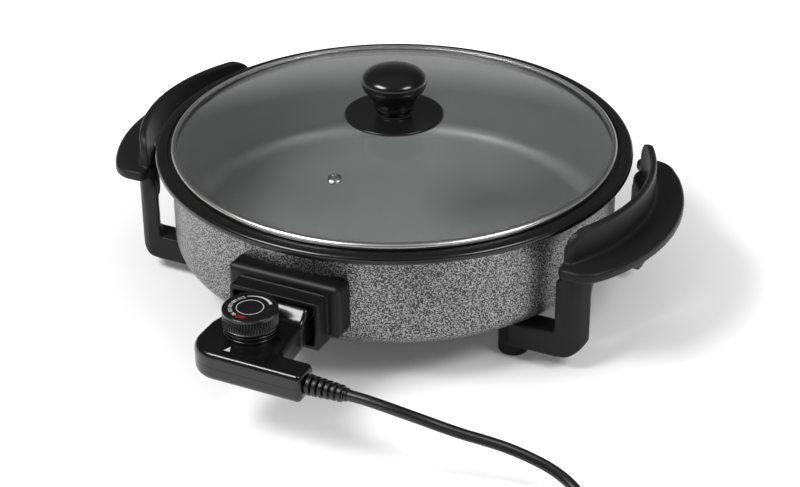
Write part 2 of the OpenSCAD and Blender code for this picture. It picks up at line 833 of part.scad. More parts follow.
// Outside of the housing: the wide body and the arm for the cord
module case_outside() {
    half = case_w / 2;
    small = case_edge + 1;
    hull() {
        case_corner_at(case_corner - half, case_corner - case_front, case_corner);
        case_corner_at(half - small, small - case_front, small);
        for (s = [-1, 1]) case_corner_at(s * (plug_w / 2 - small), -neck_back - small, small);
        case_corner_at(half - small, cord_arm_w - case_front, small);
        case_corner_at(small - half, 2 * case_corner - case_front, small);
    }
    hull() {
        for (x = [0, arm_x - small]) {
            for (y = [small, cord_arm_w - small]) case_corner_at(x, y - case_front, small);
        }
    }
    out_y(plug_tip, neck_back + case_corner)
        soft_rect([-plug_w / 2, case_z], [plug_w / 2, case_top], case_edge);
}

// Hollow of the housing
module case_inside() {
    left = case_corner - case_w / 2;
    right = case_w / 2 - case_t - 1;
    front = case_front - case_t - 1;
    neck_half = plug_w / 2 - case_t;
    translate([0, 0, case_z + case_t]) linear_extrude(case_h - 2 * case_t) {
        translate([-neck_half, -dial_y]) square([2 * neck_half, dial_y - plug_tip - case_t]);
        translate([left, -front]) square([right - left, front - neck_back - 8]);
        translate([left, case_corner - case_front]) circle(case_corner - case_t - 1);
        translate([0, case_t - case_front]) square([arm_x - case_t, cord_arm_w - 2 * case_t]);
    }
}

// Upright pillars that take the housing's screws
module at_pillars(z) {
    places = [
        [pillar_d * 1.5 - plug_w / 2, -neck_back - 2 * pillar_d],
        [plug_w / 2 - pillar_d * 1.5, -neck_back - 2 * pillar_d],
        [arm_x - 2 * pillar_d, -relief_y],
        [case_corner - case_w / 2, 1.5 * pillar_d - case_front]
    ];
    for (p = places) translate([p[0], p[1], z]) children();
}

module thermostat_upper_shell() {
    color(black) difference() {
        union() {
            difference() {
                intersection() {
                    case_outside();
                    translate([-big / 2, -big, case_mid]) cube(big);
                }
                case_inside();
            }
            at_pillars(case_mid) cylinder(d = pillar_d, h = case_top - case_t - case_mid + 0.5);
            translate([0, -dial_y, case_top - case_t]) {
                cylinder(d = dial_d - 4, h = case_t + dial_seat * 0.4);
                cylinder(d = dial_d - 8, h = case_t + dial_seat * 0.6);
                cylinder(d = dial_d - 12, h = case_t + dial_seat);
                translate([0, 0, case_t + dial_seat * 0.55]) cylinder(d = dial_d - 3, h = dial_seat * 0.45);
            }
        }
        translate([0, -dial_y, 0]) cylinder(d = spindle_d + 2 * run_gap, h = big);
        at_pillars(case_z) cylinder(d = case_screw_d, h = case_h - case_t);
        neck_holes();
        relief_hole();
    }
}

module thermostat_lower_shell() {
    color(black) difference() {
        union() {
            difference() {
                intersection() {
                    case_outside();
                    translate([-big / 2, -big, case_mid - big]) cube(big);
                }
                case_inside();
            }
            at_pillars(case_z + 0.5) cylinder(d = pillar_d, h = case_mid - case_z - 0.5);
        }
        at_pillars(case_z - 1) {
            cylinder(d = case_screw_d + 2 * screw_gap, h = case_h);
            cylinder(d = 2 * case_screw_d + 2 * screw_gap, h = screw_sink + 3);
        }
        neck_holes();
        relief_hole();
    }
}

// Holes in the neck's face for the pins and the probe
module neck_holes() {
    back = plug_tip + case_t + 1;
    for (s = [-1, 1]) {
        translate([s * tail_x, 0, pin_z]) bar_y(pin_d + 2 * slide_gap, plug_tip - 1, back);
    }
    translate([0, 0, earth_z]) bar_y(earth_d + 2 * slide_gap, plug_tip - 1, back);
    translate([0, 0, probe_z]) bar_y(probe_d + 2 * screw_gap, plug_tip - 1, back);
}

module relief_hole() {
    translate([arm_x - case_t - 1, -relief_y, case_mid]) rotate([0, 90, 0])
        cylinder(d = relief_d - 4 + 2 * screw_gap, h = case_t + 2);
}

module thermostat_screws() {
    color(steel) at_pillars(case_z + screw_sink) difference() {
        union() {
            cylinder(d = 2 * case_screw_d - 2 * screw_gap, h = 2);
            cylinder(d = case_screw_d - 2 * screw_gap, h = case_h - case_t - 4);
        }
        translate([-case_screw_d, -0.35, -1]) cube([2 * case_screw_d, 0.7, 1.8]);
    }
}

module thermostat_probe() {
    tip = pan_r + 2;
    color(steel) translate([0, 0, probe_z]) {
        bar_y(probe_d, tip, plug_tip + probe_back);
        translate([0, -tip, 0]) rotate([-90, 0, 0]) cylinder(d1 = probe_d, d2 = probe_d - 2, h = 1);
    }
}

// Spring tube that takes a pin of the given diameter
module contact(d, outside) {
    difference() {
        bar_y(outside, plug_tip + case_t + part_gap, plug_tip + contact_l);
        bar_y(d + 2 * run_gap, plug_tip, plug_tip + contact_bore);
    }
}

module contact_tubes() {
    color("#b8914e") for (s = [-1, 1]) translate([s * tail_x, 0, pin_z]) contact(pin_d, contact_d);
}

module earth_contact() {
    color("#b8914e") translate([0, 0, earth_z]) contact(earth_d, earth_d + 2);
}

// Moulded block that holds the contacts, the probe and the two blades
module switch_base() {
    wide = plug_w - 2 * case_t - 2 * part_gap;
    front = plug_tip + case_t + part_gap;
    color("#6b4a33") difference() {
        translate([-wide / 2, -base_back, case_z + case_t])
            cube([wide, base_back - front, case_h - 2 * case_t - part_gap]);
        for (s = [-1, 1]) {
            translate([s * tail_x, 0, pin_z])
                bar_y(contact_d + 2 * screw_gap, front - 1, plug_tip + contact_l);
        }
        translate([0, 0, earth_z]) bar_y(earth_d + 2 + 2 * screw_gap, front - 1, plug_tip + contact_l);
        translate([0, 0, probe_z]) bar_y(probe_d + 2 * screw_gap, front - 1, plug_tip + probe_back);
        for (z = blade_zs) {
            translate([-blade_w / 2 - screw_gap, -base_back - 1, z - blade_t / 2 - screw_gap])
                cube([blade_w + 2 * screw_gap, 5, blade_t + 2 * screw_gap]);
        }
    }
}

// Springy strip from the switch base to under the spindle, with a contact button at its end
module blade(z, face) {
    tip = dial_y + 5;
    translate([-blade_w / 2, -tip, z - blade_t / 2]) cube([blade_w, tip - base_back + 4, blade_t]);
    translate([0, -dial_y - 1, face > 0 ? z : z - blade_t / 2 - 1]) cylinder(d = 4, h = blade_t / 2 + 1);
}

module bimetal_strip() {
    color("#a88a55") blade(blade_zs[1], -1);
}

module contact_blade() {
    color("#b87b4b") blade(blade_zs[0], 1);
}

// Ribbed dial
module dial_knob() {
    rim = 1.2;
    r = dial_d / 2;
    tip = r - 0.15;
    ribs = [
        for (i = [0 : 2 * dial_ribs - 1])
            let (a = 180 * i / dial_ribs, q = i % 2 == 0 ? tip : tip - dial_rib) [q * cos(a), q * sin(a)]
    ];
    color(black) translate([0, -dial_y, dial_z]) difference() {
        union() {
            translate([0, 0, 1]) linear_extrude(dial_h - 3.5) polygon(ribs);
            cylinder(r = r, h = 1.5);
            rotate_extrude() {
                translate([0, dial_h - 3]) square([r - rim, 3]);
                translate([r - rim, dial_h - 3]) square([rim, 3 - rim]);
                translate([r - rim, dial_h - rim]) circle(rim);
            }
        }
        translate([0, 0, -1]) cylinder(d = spindle_d, h = dial_h - 3);
    }
}

module dial_spindle() {
    nose_z = blade_zs[1] + blade_t / 2 + part_gap;
    body_z = nose_z + 3;
    color(steel) translate([0, -dial_y, 0]) {
        translate([0, 0, nose_z]) cylinder(d = spindle_d / 2, h = 4);
        translate([0, 0, body_z]) cylinder(d = spindle_d, h = dial_z + dial_h - 5 - body_z);
    }
}

// Ribbed strain relief on the cord arm, with a flange inside the wall
module strain_relief() {
    pitch = (relief_l - 4) / relief_ribs;
    color(black) translate([arm_x, -relief_y, case_mid]) rotate([0, 90, 0]) {
        translate([0, 0, -case_t - 2]) cylinder(d = relief_d, h = 2);
        translate([0, 0, -case_t - 1]) cylinder(d = relief_d - 4, h = case_t + 3);
        cylinder(d1 = relief_d - 4, d2 = cord_d + 2, h = relief_l);
        for (i = [0 : relief_ribs - 1]) {
            translate([0, 0, 2 + i * pitch]) cylinder(d = relief_d - i * 0.6, h = pitch * 0.6);
        }
    }
}

// Route of the lead from the strain relief to the floor
lead_end = [coil_x + coil_r, coil_y, coil_z];
lead_route = [
    [123, -298.5, 72], [143, -297, 69], [162, -292.5, 63.5], [178, -286, 56.5], [192, -278, 49],
    [206, -269.5, 42], [221, -262, 35], [238, -257, 28], [256, -255, 21], [273, -258, 14.5],
    [287, -267, 9.5], [296, -281, 7], [300, -299, coil_z], [300, -320, coil_z], [300, -343, coil_z]
];

function unit(v) = v / norm(v);
function path_dir(path, i) = unit(path[min(i + 1, len(path) - 1)] - path[max(i - 1, 0)]);
function ring(path, i, r, sides) =
    let (t = path_dir(path, i), u = unit(cross(t, [0, 0, 1])), w = cross(u, t))
    [for (k = [0 : sides - 1]) path[i] + r * cos(360 * k / sides) * u + r * sin(360 * k / sides) * w];

// Round tube through every point of a path
module tube(path, d, sides) {
    n = len(path);
    rings = [for (i = [0 : n - 1]) each ring(path, i, d / 2, sides)];
    skin = [for (i = [0 : n - 2], k = [0 : sides - 1])
        let (a = i * sides + k, b = i * sides + (k + 1) % sides)
        each [[a, b, b + sides], [a, b + sides, a + sides]]];
    last = (n - 1) * sides;
    caps = [for (k = [1 : sides - 2]) each [[0, k + 1, k], [last, last + k, last + k + 1]]];
    polyhedron(points = rings, faces = concat(skin, caps), convexity = 10);
}

module cord_lead() {
    start = [arm_x + relief_l, -relief_y, case_mid];
    color(black) tube(concat([start, start + [cord_d, 0, 0]], lead_route,
        [lead_end + [0, cord_d, 0], lead_end]), cord_d, 10);
}

// The coil winds in along the floor, climbs to its upper layer over half a turn and winds out again
function coil_radius(a) =
    a < coil_turn ? coil_r - coil_step * a / 360
    : a < coil_turn + 180 ? coil_r - coil_step * layer_turns
    : coil_r - coil_step * layer_turns + coil_step * (a - coil_turn - 180) / 360;
function coil_height(a) =
    coil_z + coil_rise * (a < coil_turn ? 0 : a > coil_turn + 180 ? 1 : (1 - cos(a - coil_turn)) / 2);
function coil_point(a) =
    [coil_x + coil_radius(a) * cos(a), coil_y - coil_radius(a) * sin(a), coil_height(a)];
coil_top = coil_z + coil_rise;
tail_l = 70;
coil_tail = [for (t = [0.25, 0.5, 0.75, 1])
    [coil_x + coil_r, coil_y - tail_l * t, coil_top + (plug_d / 2 - coil_top) * t * t * (3 - 2 * t)]];
coil_path = concat(
    [lead_end, lead_end - [0, cord_d, 0]],
    [for (a = [15 : 15 : coil_end - 15]) coil_point(a)],
    [coil_point(coil_end)],
    coil_tail,
    [coil_tail[3] - [0, cord_d, 0]]
);
plug_y = coil_y - tail_l - cord_d;

function coil_gaps(path, apart) = [for (i = [0 : len(path) - 1 - apart], j = [i + apart : len(path) - 1])
    norm(path[i] - path[j]) - cord_d];

module cord_coil() {
    echo(least_coil_gap = min(coil_gaps(coil_path, 6)));
    color(black) tube(coil_path, cord_d, 6);
}

// Strap round the four strands where the cord comes in and goes out
module cord_tie() {
    wide = coil_step + cord_d + tie_gap + tie_slack;
    high = coil_rise + cord_d + 2 * tie_gap;
    left = coil_x + coil_r - coil_step - cord_d / 2 - tie_slack;
    color("#2c2c2e") translate([left, coil_y + tie_w / 2, tie_t]) rotate([90, 0, 0])
        linear_extrude(tie_w) difference() {
            soft_rect([-tie_t, -tie_t], [wide + tie_t, high + tie_t], 3);
            soft_rect([0, 0], [wide, high], 1.5);
        }
}

// Round mains plug lying on its side, with a grip ring and a tapered tail
module mains_plug() {
    color(black) translate([coil_x + coil_r, plug_y, plug_d / 2]) rotate([90, 0, 0]) difference() {
        union() {
            cylinder(d1 = cord_d + 3, d2 = cord_d + 11, h = plug_tail);
            translate([0, 0, plug_tail - 4]) cylinder(d1 = cord_d + 10, d2 = plug_d - 3, h = 10);
            translate([0, 0, plug_tail + 6]) cylinder(d = plug_d - 3, h = plug_l - 6);
            translate([0, 0, plug_tail + plug_l - 8]) cylinder(d = plug_d, h = 8);
        }
        for (s = [-1, 1]) {
            translate([s * mains_pitch / 2, 0, plug_tail + plug_l - pin_root])
                cylinder(d = mains_pin_d, h = plug_l);
            translate([s * plug_d / 2 - 2.5, -2.5, plug_tail + plug_l - pin_root]) cube([5, 5, plug_l]);
        }
    }
}

module plug_pins() {
    root = plug_y - plug_tail - plug_l + pin_root;
    long = mains_pin_l + pin_root - 1;
    color(steel) translate([coil_x + coil_r, root, plug_d / 2]) rotate([90, 0, 0])
        for (s = [-1, 1]) translate([s * mains_pitch / 2, 0, 0]) {
            cylinder(d = mains_pin_d, h = long);
            translate([0, 0, long]) cylinder(d1 = mains_pin_d, d2 = mains_pin_d - 2, h = 1);
        }
}

pan_body();
heating_element();
terminal_insulators();
terminal_pins();
terminal_plate();
earth_pin();
plate_screws();
socket_shroud();
left_handle();
right_handle();
handle_screws();
lid_glass();
lid_band();
vent_eyelet();
lid_knob();
knob_plate();
knob_screw();
knob_washer();
thermostat_upper_shell();
thermostat_lower_shell();
thermostat_screws();
thermostat_probe();
contact_tubes();
earth_contact();
switch_base();
bimetal_strip();
contact_blade();
dial_knob();
dial_spindle();
strain_relief();
cord_lead();
cord_coil();
cord_tie();
mains_plug();
plug_pins();
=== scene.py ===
import math

import bmesh
import bpy
from mathutils import Matrix, Vector


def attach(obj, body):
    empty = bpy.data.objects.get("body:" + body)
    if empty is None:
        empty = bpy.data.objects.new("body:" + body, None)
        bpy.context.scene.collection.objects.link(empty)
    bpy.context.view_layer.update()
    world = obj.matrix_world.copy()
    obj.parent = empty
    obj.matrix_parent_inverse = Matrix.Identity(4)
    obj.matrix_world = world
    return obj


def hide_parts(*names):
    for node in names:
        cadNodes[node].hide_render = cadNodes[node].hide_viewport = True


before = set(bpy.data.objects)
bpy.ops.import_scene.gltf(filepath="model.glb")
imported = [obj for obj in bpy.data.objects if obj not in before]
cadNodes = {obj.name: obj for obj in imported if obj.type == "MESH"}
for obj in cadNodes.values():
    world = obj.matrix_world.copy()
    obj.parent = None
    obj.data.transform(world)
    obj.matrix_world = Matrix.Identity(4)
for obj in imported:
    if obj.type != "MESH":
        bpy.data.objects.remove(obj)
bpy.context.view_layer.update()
scene = bpy.context.scene
scene.view_settings.view_transform = "Standard"
mm = 0.001
print("frame loaded:", len(cadNodes), "nodes")

# camera first, from the photo's own view
cameraSetup = {
    "place": (0.66417, -1.37840, 0.90494),
    "right": (0.903174, 0.429258, -0.003937),
    "up": (-0.210444, 0.450737, 0.867496),
    "back": (0.374154, -0.782671, 0.497428),
    "lens": 85.5,
    "sensor": 36.0,
}


def addCamera(setup):
    data = bpy.data.cameras.new("viewCamera")
    data.lens = setup["lens"]
    data.sensor_fit = "HORIZONTAL"
    data.sensor_width = setup["sensor"]
    data.clip_start, data.clip_end = 0.05, 50
    obj = bpy.data.objects.new("viewCamera", data)
    scene.collection.objects.link(obj)
    turn = Matrix((setup["right"], setup["up"], setup["back"])).transposed()
    obj.matrix_world = Matrix.Translation(setup["place"]) @ turn.to_4x4()
    scene.camera = obj


addCamera(cameraSetup)


# shader maths as plain expressions
class Wire:
    def __init__(self, finish, socket):
        self.finish = finish
        self.socket = socket

    def math(self, operation, first, second):
        return self.finish.add("Math", {"operation": operation}, {0: first, 1: second})

    def __add__(self, other):
        return self.math("ADD", self, other)

    def __sub__(self, other):
        return self.math("SUBTRACT", self, other)

    def __rsub__(self, other):
        return self.math("SUBTRACT", other, self)

    def __mul__(self, other):
        return self.math("MULTIPLY", self, other)

    def __pow__(self, other):
        return self.math("POWER", self, other)

    __radd__ = __add__
    __rmul__ = __mul__

    def atMost(self, other):
        return self.math("MINIMUM", self, other)

    def between(self, low, high):  # smooth step from 0 at low to 1 at high
        return self.finish.add("MapRange", {"interpolation_type": "SMOOTHSTEP"},
                               {"Value": self, "From Min": low, "From Max": high})


class Finish:
    def __init__(self, name, **constants):
        self.material = bpy.data.materials.new(name)
        self.start(self.material, "OutputMaterial", "BsdfPrincipled")
        for key, value in constants.items():
            self.put(key, value)

    def start(self, owner, end, shader):
        owner.use_nodes = True
        self.tree = owner.node_tree
        self.tree.nodes.clear()
        self.end = self.tree.nodes.new("ShaderNode" + end)
        self.shader = self.tree.nodes.new("ShaderNode" + shader)
        self.tree.links.new(self.shader.outputs[0], self.end.inputs[0])

    def put(self, key, value):  # baseColor -> "Base Color"
        words = "".join(" " + c if c.isupper() else c for c in key.replace("IOR", "Ior"))
        self.plug(self.shader.inputs[words.strip().title().replace("Ior", "IOR")], value)

    def plug(self, socket, value):
        if isinstance(value, Wire):
            self.tree.links.new(value.socket, socket)
        elif socket.type == "RGBA" and len(value) == 3:
            socket.default_value = (*value, 1)
        else:
            socket.default_value = value

    def add(self, kind, settings=None, inputs=None, out=0):
        node = self.tree.nodes.new("ShaderNode" + kind)
        for key, value in (settings or {}).items():
            if key == "stops":
                while len(node.color_ramp.elements) < len(value):
                    node.color_ramp.elements.new(0.5)
                for element, (place, colour) in zip(node.color_ramp.elements, value):
                    element.position, element.color = place, (*colour, 1)
            else:
                setattr(node, key, value)
        for key, value in (inputs or {}).items():
            self.plug(node.inputs[key], value)
        return Wire(self, node.outputs[out])

    def place(self):
        return self.add("TexCoord", out="Object")

    def split(self, vector):
        node = self.add("SeparateXYZ", None, {0: vector}).socket.node
        return [Wire(self, s) for s in node.outputs]

    def fromAxis(self):  # distance from the upright axis, and height
        x, y, z = self.split(self.place())
        return (x * x + y * y) ** 0.5, z

    def noise(self, scale, detail=2.0, rough=0.5, at=None, warp=0.0):
        return self.add("TexNoise", None, {"Vector": at or self.place(), "Scale": scale, "Detail": detail,
                                           "Roughness": rough, "Distortion": warp})

    def turned(self, scale):  # fine rings, as left by a lathe
        radius, height = self.fromAxis()
        at = self.add("CombineXYZ", None, {0: radius * scale, 1: height * scale, 2: 0.0})
        return self.noise(1.0, 3.0, 0.6, at=at)

    def drawn(self, scales):  # grain stretched along one axis, as on drawn metal
        at = self.add("Mapping", None, {"Vector": self.place(), "Scale": scales})
        return self.noise(1.0, 3.0, 0.65, at=at)

    def mix(self, amount, first, second):
        return self.add("Mix", {"data_type": "RGBA"}, {0: amount, 6: first, 7: second}, out=2)

    def bump(self, height, strength, distance):
        inputs = {"Height": height, "Strength": strength, "Distance": distance}
        self.put("normal", self.add("Bump", None, inputs))


def grey(level, warm=0.0):
    return (level * (1 + warm), level, level * (1 - warm))


# paint and coatings of the pan
hammerLook = {"metal": 0.75, "grain": 820.0, "fleck": 1886.0, "cloud": 25.0, "dark": 0.03, "mid": 0.12,
              "light": 0.36, "rough": 0.34, "dent": 0.3}


def hammerFinish(look):
    f = Finish("hammerPaint", metallic=look["metal"], specularIORLevel=0.5)
    worm = f.noise(look["grain"], 0.6, 0.5, warp=0.35)
    fleck = f.noise(look["fleck"], 1.0)
    tone = worm.between(0.36, 0.64) * 0.85 + fleck.between(0.3, 0.7) * 0.15
    cloud = f.noise(look["cloud"], 2.0)
    stops = [(0.05, grey(look["dark"])), (0.5, grey(look["mid"])), (0.95, grey(look["light"]))]
    f.put("baseColor", f.add("ValToRGB", {"stops": stops}, {"Fac": tone}))
    f.put("roughness", look["rough"] + cloud * 0.08 - tone * 0.06)
    f.bump(worm, 0.6, look["dent"] * mm)
    return f.material


nonStickLook = {"rings": 900, "low": 0.08, "high": 0.11, "speck": 0.25, "rough": 0.36}


def nonStickFinish(look):
    f = Finish("nonStick", specularIORLevel=0.5)
    rings = f.turned(look["rings"])
    speck = f.noise(2600.0, 1.0).between(0.62, 0.74)
    cloud = f.noise(14.0, 3.0, 0.55)
    coat = f.mix(cloud, grey(look["low"]), grey(look["high"]))
    f.put("baseColor", f.mix(speck * 0.5, coat, grey(look["speck"])))
    f.put("roughness", look["rough"] + rings * 0.1 + cloud * 0.08)
    f.bump(rings * 0.6 + f.noise(1800.0, 2.0) * 0.4, 0.12, 0.08 * mm)
    return f.material


rimLook = {"low": 0.004, "high": 0.007, "rough": 0.2, "shine": 0.42}


def rimFinish(look):
    f = Finish("rimCoating", specularIORLevel=look["shine"])
    cloud = f.noise(30.0, 3.0, 0.6)
    fine = f.noise(1900.0, 2.0)
    f.put("baseColor", f.mix(cloud, grey(look["low"]), grey(look["high"])))
    f.put("roughness", look["rough"] + cloud * 0.08)
    f.bump(fine, 0.1, 0.05 * mm)
    return f.material


# plastics, metals, rubber, prints and glass
def mouldedFinish(name, low, high, rough, grain, size, shine=0.5, haze=0.0):
    f = Finish(name, specularIORLevel=shine)
    cloud = f.noise(22.0, 3.0, 0.6)
    fine = f.noise(1000 / size, 2.0, 0.55)
    facing = f.add("LayerWeight", None, {"Blend": 0.5}, out="Facing")
    f.put("baseColor", f.mix(cloud, grey(low), grey(high)))
    f.put("roughness", rough + cloud * 0.08 + fine * 0.06 - 0.05 + facing ** 2 * haze)
    f.bump(fine, grain, 0.08 * mm)
    return f.material


def steelFinish(name, tone, rough, grain):
    f = Finish(name, metallic=1.0)
    drawn = f.drawn(grain)
    cloud = f.noise(45.0, 3.0, 0.6)
    f.put("baseColor", f.mix(cloud, grey(tone * 0.82, 0.01), grey(tone, 0.01)))
    f.put("roughness", rough + drawn * 0.14)
    f.bump(drawn, 0.08, 0.03 * mm)
    return f.material


def bandFinish():
    f = Finish("bandSteel", metallic=1.0)
    drawn = f.turned(3000)
    cloud = f.noise(20.0, 3.0, 0.6)
    f.put("baseColor", f.mix(cloud, grey(0.66, 0.015), grey(0.78, 0.01)))
    f.put("roughness", 0.2 + drawn * 0.16)
    f.bump(drawn, 0.06, 0.03 * mm)
    return f.material


def sheathFinish():
    f = Finish("sheathSteel", metallic=0.9)
    cloud = f.noise(38.0, 4.0, 0.6)
    fine = f.noise(700.0, 2.0)
    heatTints = [(0.25, (0.11, 0.1, 0.09)), (0.55, (0.22, 0.2, 0.17)), (0.8, (0.3, 0.24, 0.17))]
    f.put("baseColor", f.add("ValToRGB", {"stops": heatTints}, {"Fac": cloud}))
    f.put("roughness", 0.4 + fine * 0.2)
    f.bump(fine, 0.15, 0.05 * mm)
    return f.material


def ceramicFinish():
    f = Finish("ceramic", specularIORLevel=0.35)
    fine = f.noise(900.0, 3.0)
    f.put("baseColor", f.mix(fine, (0.74, 0.7, 0.62), (0.86, 0.83, 0.77)))
    f.put("roughness", 0.55 + fine * 0.2)
    f.bump(fine, 0.2, 0.06 * mm)
    return f.material


def brassFinish(name, low, high):
    f = Finish(name, metallic=1.0)
    cloud = f.noise(90.0, 4.0, 0.6)
    f.put("baseColor", f.mix(cloud, low, high))
    f.put("roughness", 0.24 + cloud * 0.2)
    f.bump(f.noise(1500.0, 2.0), 0.1, 0.04 * mm)
    return f.material


def rubberFinish(name, low, high, rough):
    f = Finish(name, specularIORLevel=0.4)
    cloud = f.noise(60.0, 3.0, 0.6)
    fine = f.noise(1600.0, 2.0)
    f.put("baseColor", f.mix(cloud, grey(low), grey(high)))
    f.put("roughness", rough + fine * 0.12)
    f.bump(fine, 0.18, 0.06 * mm)
    return f.material


def printFinish(name, colour):
    f = Finish(name, specularIORLevel=0.4)
    fine = f.noise(2200.0, 2.0)
    f.put("baseColor", f.mix(fine * 0.35, colour, tuple(c * 0.72 for c in colour)))
    f.put("roughness", 0.4 + fine * 0.2)
    return f.material


def glassFinish():
    f = Finish("lidGlass", baseColor=(0.98, 0.986, 0.984), roughness=0.015, ior=1.45,
               transmissionWeight=1.0)
    clear = f.add("BsdfTransparent", None, {0: (0.945, 0.955, 0.952)})
    shadow = f.add("LightPath", out="Is Shadow Ray")
    both = f.add("MixShader", None, {0: shadow, 1: Wire(f, f.shader.outputs[0]), 2: clear})
    f.plug(f.end.inputs[0], both)
    return f.material


finishes = {
    "hammer": hammerFinish(hammerLook),
    "nonStick": nonStickFinish(nonStickLook),
    "rim": rimFinish(rimLook),
    "satin": mouldedFinish("satinBlack", low=0.009, high=0.013, rough=0.4, grain=0.3, size=0.7, shine=0.17),
    "shroud": mouldedFinish("shroudBlack", low=0.004, high=0.006, rough=0.42, grain=0.3, size=0.7,
                            shine=0.22),
    "knob": mouldedFinish("knobBlack", low=0.005, high=0.007, rough=0.15, grain=0.02, size=1.6, shine=0.42,
                          haze=0.4),
    "case": mouldedFinish("caseBlack", low=0.003, high=0.005, rough=0.18, grain=0.03, size=1.4, shine=0.42),
    "dial": mouldedFinish("dialBlack", low=0.004, high=0.006, rough=0.22, grain=0.08, size=0.5),
    "band": bandFinish(),
    "bright": steelFinish("brightSteel", tone=0.72, rough=0.14, grain=(900, 900, 120)),
    "plain": steelFinish("plainSteel", tone=0.58, rough=0.26, grain=(1500, 160, 1500)),
    "sheath": sheathFinish(),
    "ceramic": ceramicFinish(),
    "brass": brassFinish("contactBrass", low=(0.5, 0.35, 0.14), high=(0.66, 0.49, 0.23)),
    "bimetal": brassFinish("bimetal", low=(0.42, 0.33, 0.2), high=(0.56, 0.46, 0.3)),
    "phenolic": mouldedFinish("brownPhenolic", low=0.05, high=0.075, rough=0.5, grain=0.3, size=0.8),
    "cord": rubberFinish("cordRubber", low=0.004, high=0.007, rough=0.34),
    "relief": rubberFinish("reliefRubber", low=0.003, high=0.005, rough=0.3),
    "washer": rubberFinish("washerRubber", low=0.2, high=0.3, rough=0.55),
    "tie": rubberFinish("tieStrap", low=0.03, high=0.045, rough=0.6),
    "plug": mouldedFinish("plugBlack", low=0.013, high=0.019, rough=0.38, grain=0.25, size=0.6),
    "white": printFinish("whitePrint", (0.5, 0.5, 0.49)),
    "red": printFinish("redPrint", (0.42, 0.012, 0.02)),
    "glass": glassFinish(),
}
print("finishes made:", len(finishes))


# building blocks: all sizes in millimetres
def rounded(corners, closed=False, step=9.0):
    count = len(corners)
    line = []
    for i, corner in enumerate(corners):
        here = Vector(corner[:2])
        radius = corner[2] if len(corner) > 2 else 0
        if not radius or (not closed and i in (0, count - 1)):
            line.append(here)
            continue
        toA = Vector(corners[i - 1][:2]) - here
        toB = Vector(corners[(i + 1) % count][:2]) - here
        lengths = toA.length, toB.length
        toA.normalize()
        toB.normalize()
        half = toA.angle(toB) / 2
        reach = radius / math.tan(half)
        middle = here + (toA + toB).normalized() * (radius / math.sin(half))
        start, end = here + toA * reach, here + toB * reach
        a0 = math.atan2(*(start - middle).yx)
        sweep = math.atan2(*(end - middle).yx) - a0
        sweep = (sweep + math.pi) % (2 * math.pi) - math.pi
        steps = max(2, math.ceil(math.degrees(abs(sweep)) / step))
        near = min(0.3 * radius, 0.6)
        if lengths[0] > reach + 3 * near:
            line.append(start + toA * near)
        for k in range(steps + 1):
            a = a0 + sweep * k / steps
            line.append(middle + Vector((math.cos(a), math.sin(a))) * radius)
        if lengths[1] > reach + 3 * near:
            line.append(end + toB * near)
    return [tuple(p) for p in line]


def faceOut(mesh):
    work = bmesh.new()
    work.from_mesh(mesh)
    bmesh.ops.recalc_face_normals(work, faces=work.faces)
    work.to_mesh(mesh)
    work.free()


def makeMesh(name, points, faces, sharp=32, smooth=True):
    mesh = bpy.data.meshes.new(name)
    mesh.from_pydata([tuple(c * mm for c in p) for p in points], [], faces)
    mesh.validate()
    faceOut(mesh)
    if smooth:
        mesh.shade_smooth()
        mesh.set_sharp_from_angle(angle=math.radians(sharp))
    return mesh


def lathe(name, profile, steps=128, spot=None, sharp=32, closed=False):
    points, faces, rings = [], [], []
    for r, h in profile:
        if r < 1e-6:
            rings.append([len(points)])
            points.append((0, 0, h))
        else:
            rings.append(list(range(len(points), len(points) + steps)))
            points += [(r * math.cos(2 * math.pi * k / steps), r * math.sin(2 * math.pi * k / steps), h)
                       for k in range(steps)]
    pairs = list(zip(rings, rings[1:]))
    if closed:
        pairs.append((rings[-1], rings[0]))
    for low, high in pairs:
        for k in range(steps):
            n = (k + 1) % steps
            if len(low) == 1:
                faces.append((low[0], high[n], high[k]))
            elif len(high) == 1:
                faces.append((low[k], low[n], high[0]))
            else:
                faces.append((low[k], low[n], high[n], high[k]))
    if spot is not None:
        points = [tuple(spot @ Vector(p)) for p in points]
    return makeMesh(name, points, faces, sharp)


def inset(outline, amount):
    count = len(outline)
    moved = []
    for i in range(count):
        a, b, c = (Vector(outline[j % count]) for j in (i - 1, i, i + 1))
        first, second = (b - a).normalized(), (c - b).normalized()
        normal = Vector((-first.y - second.y, first.x + second.x))
        scale = max(0.35, 1 + first.dot(second)) / 2
        moved.append(tuple(b + normal.normalized() * (amount / math.sqrt(scale))))
    return moved


def levelPoints(outline, levels):  # each level is an inset and a height
    return [(x, y, z) for amount, z in levels for x, y in (inset(outline, amount) if amount else outline)]


def sideFaces(count, level):  # quads from one level's loop to the next
    a, b = level * count, (level + 1) * count
    return [(a + i, a + (i + 1) % count, b + (i + 1) % count, b + i) for i in range(count)]


def prism(name, outline, levels, spot=None, sharp=32):
    points, faces = levelPoints(outline, levels), []
    count = len(outline)
    for level in range(len(levels) - 1):
        faces += sideFaces(count, level)
    faces.append(tuple(reversed(range(count))))
    faces.append(tuple(range((len(levels) - 1) * count, len(levels) * count)))
    if spot is not None:
        points = [tuple(spot @ Vector(p)) for p in points]
    return makeMesh(name, points, faces, sharp)


def addPiece(name, mesh, body, finish, slot, *stoodFor):
    obj = bpy.data.objects.new(name, mesh)
    scene.collection.objects.link(obj)
    if not mesh.materials:
        mesh.materials.append(finishes[finish])
    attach(obj, body)
    if stoodFor:
        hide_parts(*stoodFor)
    return obj


def settle(obj, sharp=None):  # keep what the modifiers make
    graph = bpy.context.evaluated_depsgraph_get()
    mesh = bpy.data.meshes.new_from_object(obj.evaluated_get(graph))
    obj.modifiers.clear()
    obj.data = mesh
    mesh.shade_smooth()
    if sharp:
        mesh.set_sharp_from_angle(angle=math.radians(sharp))


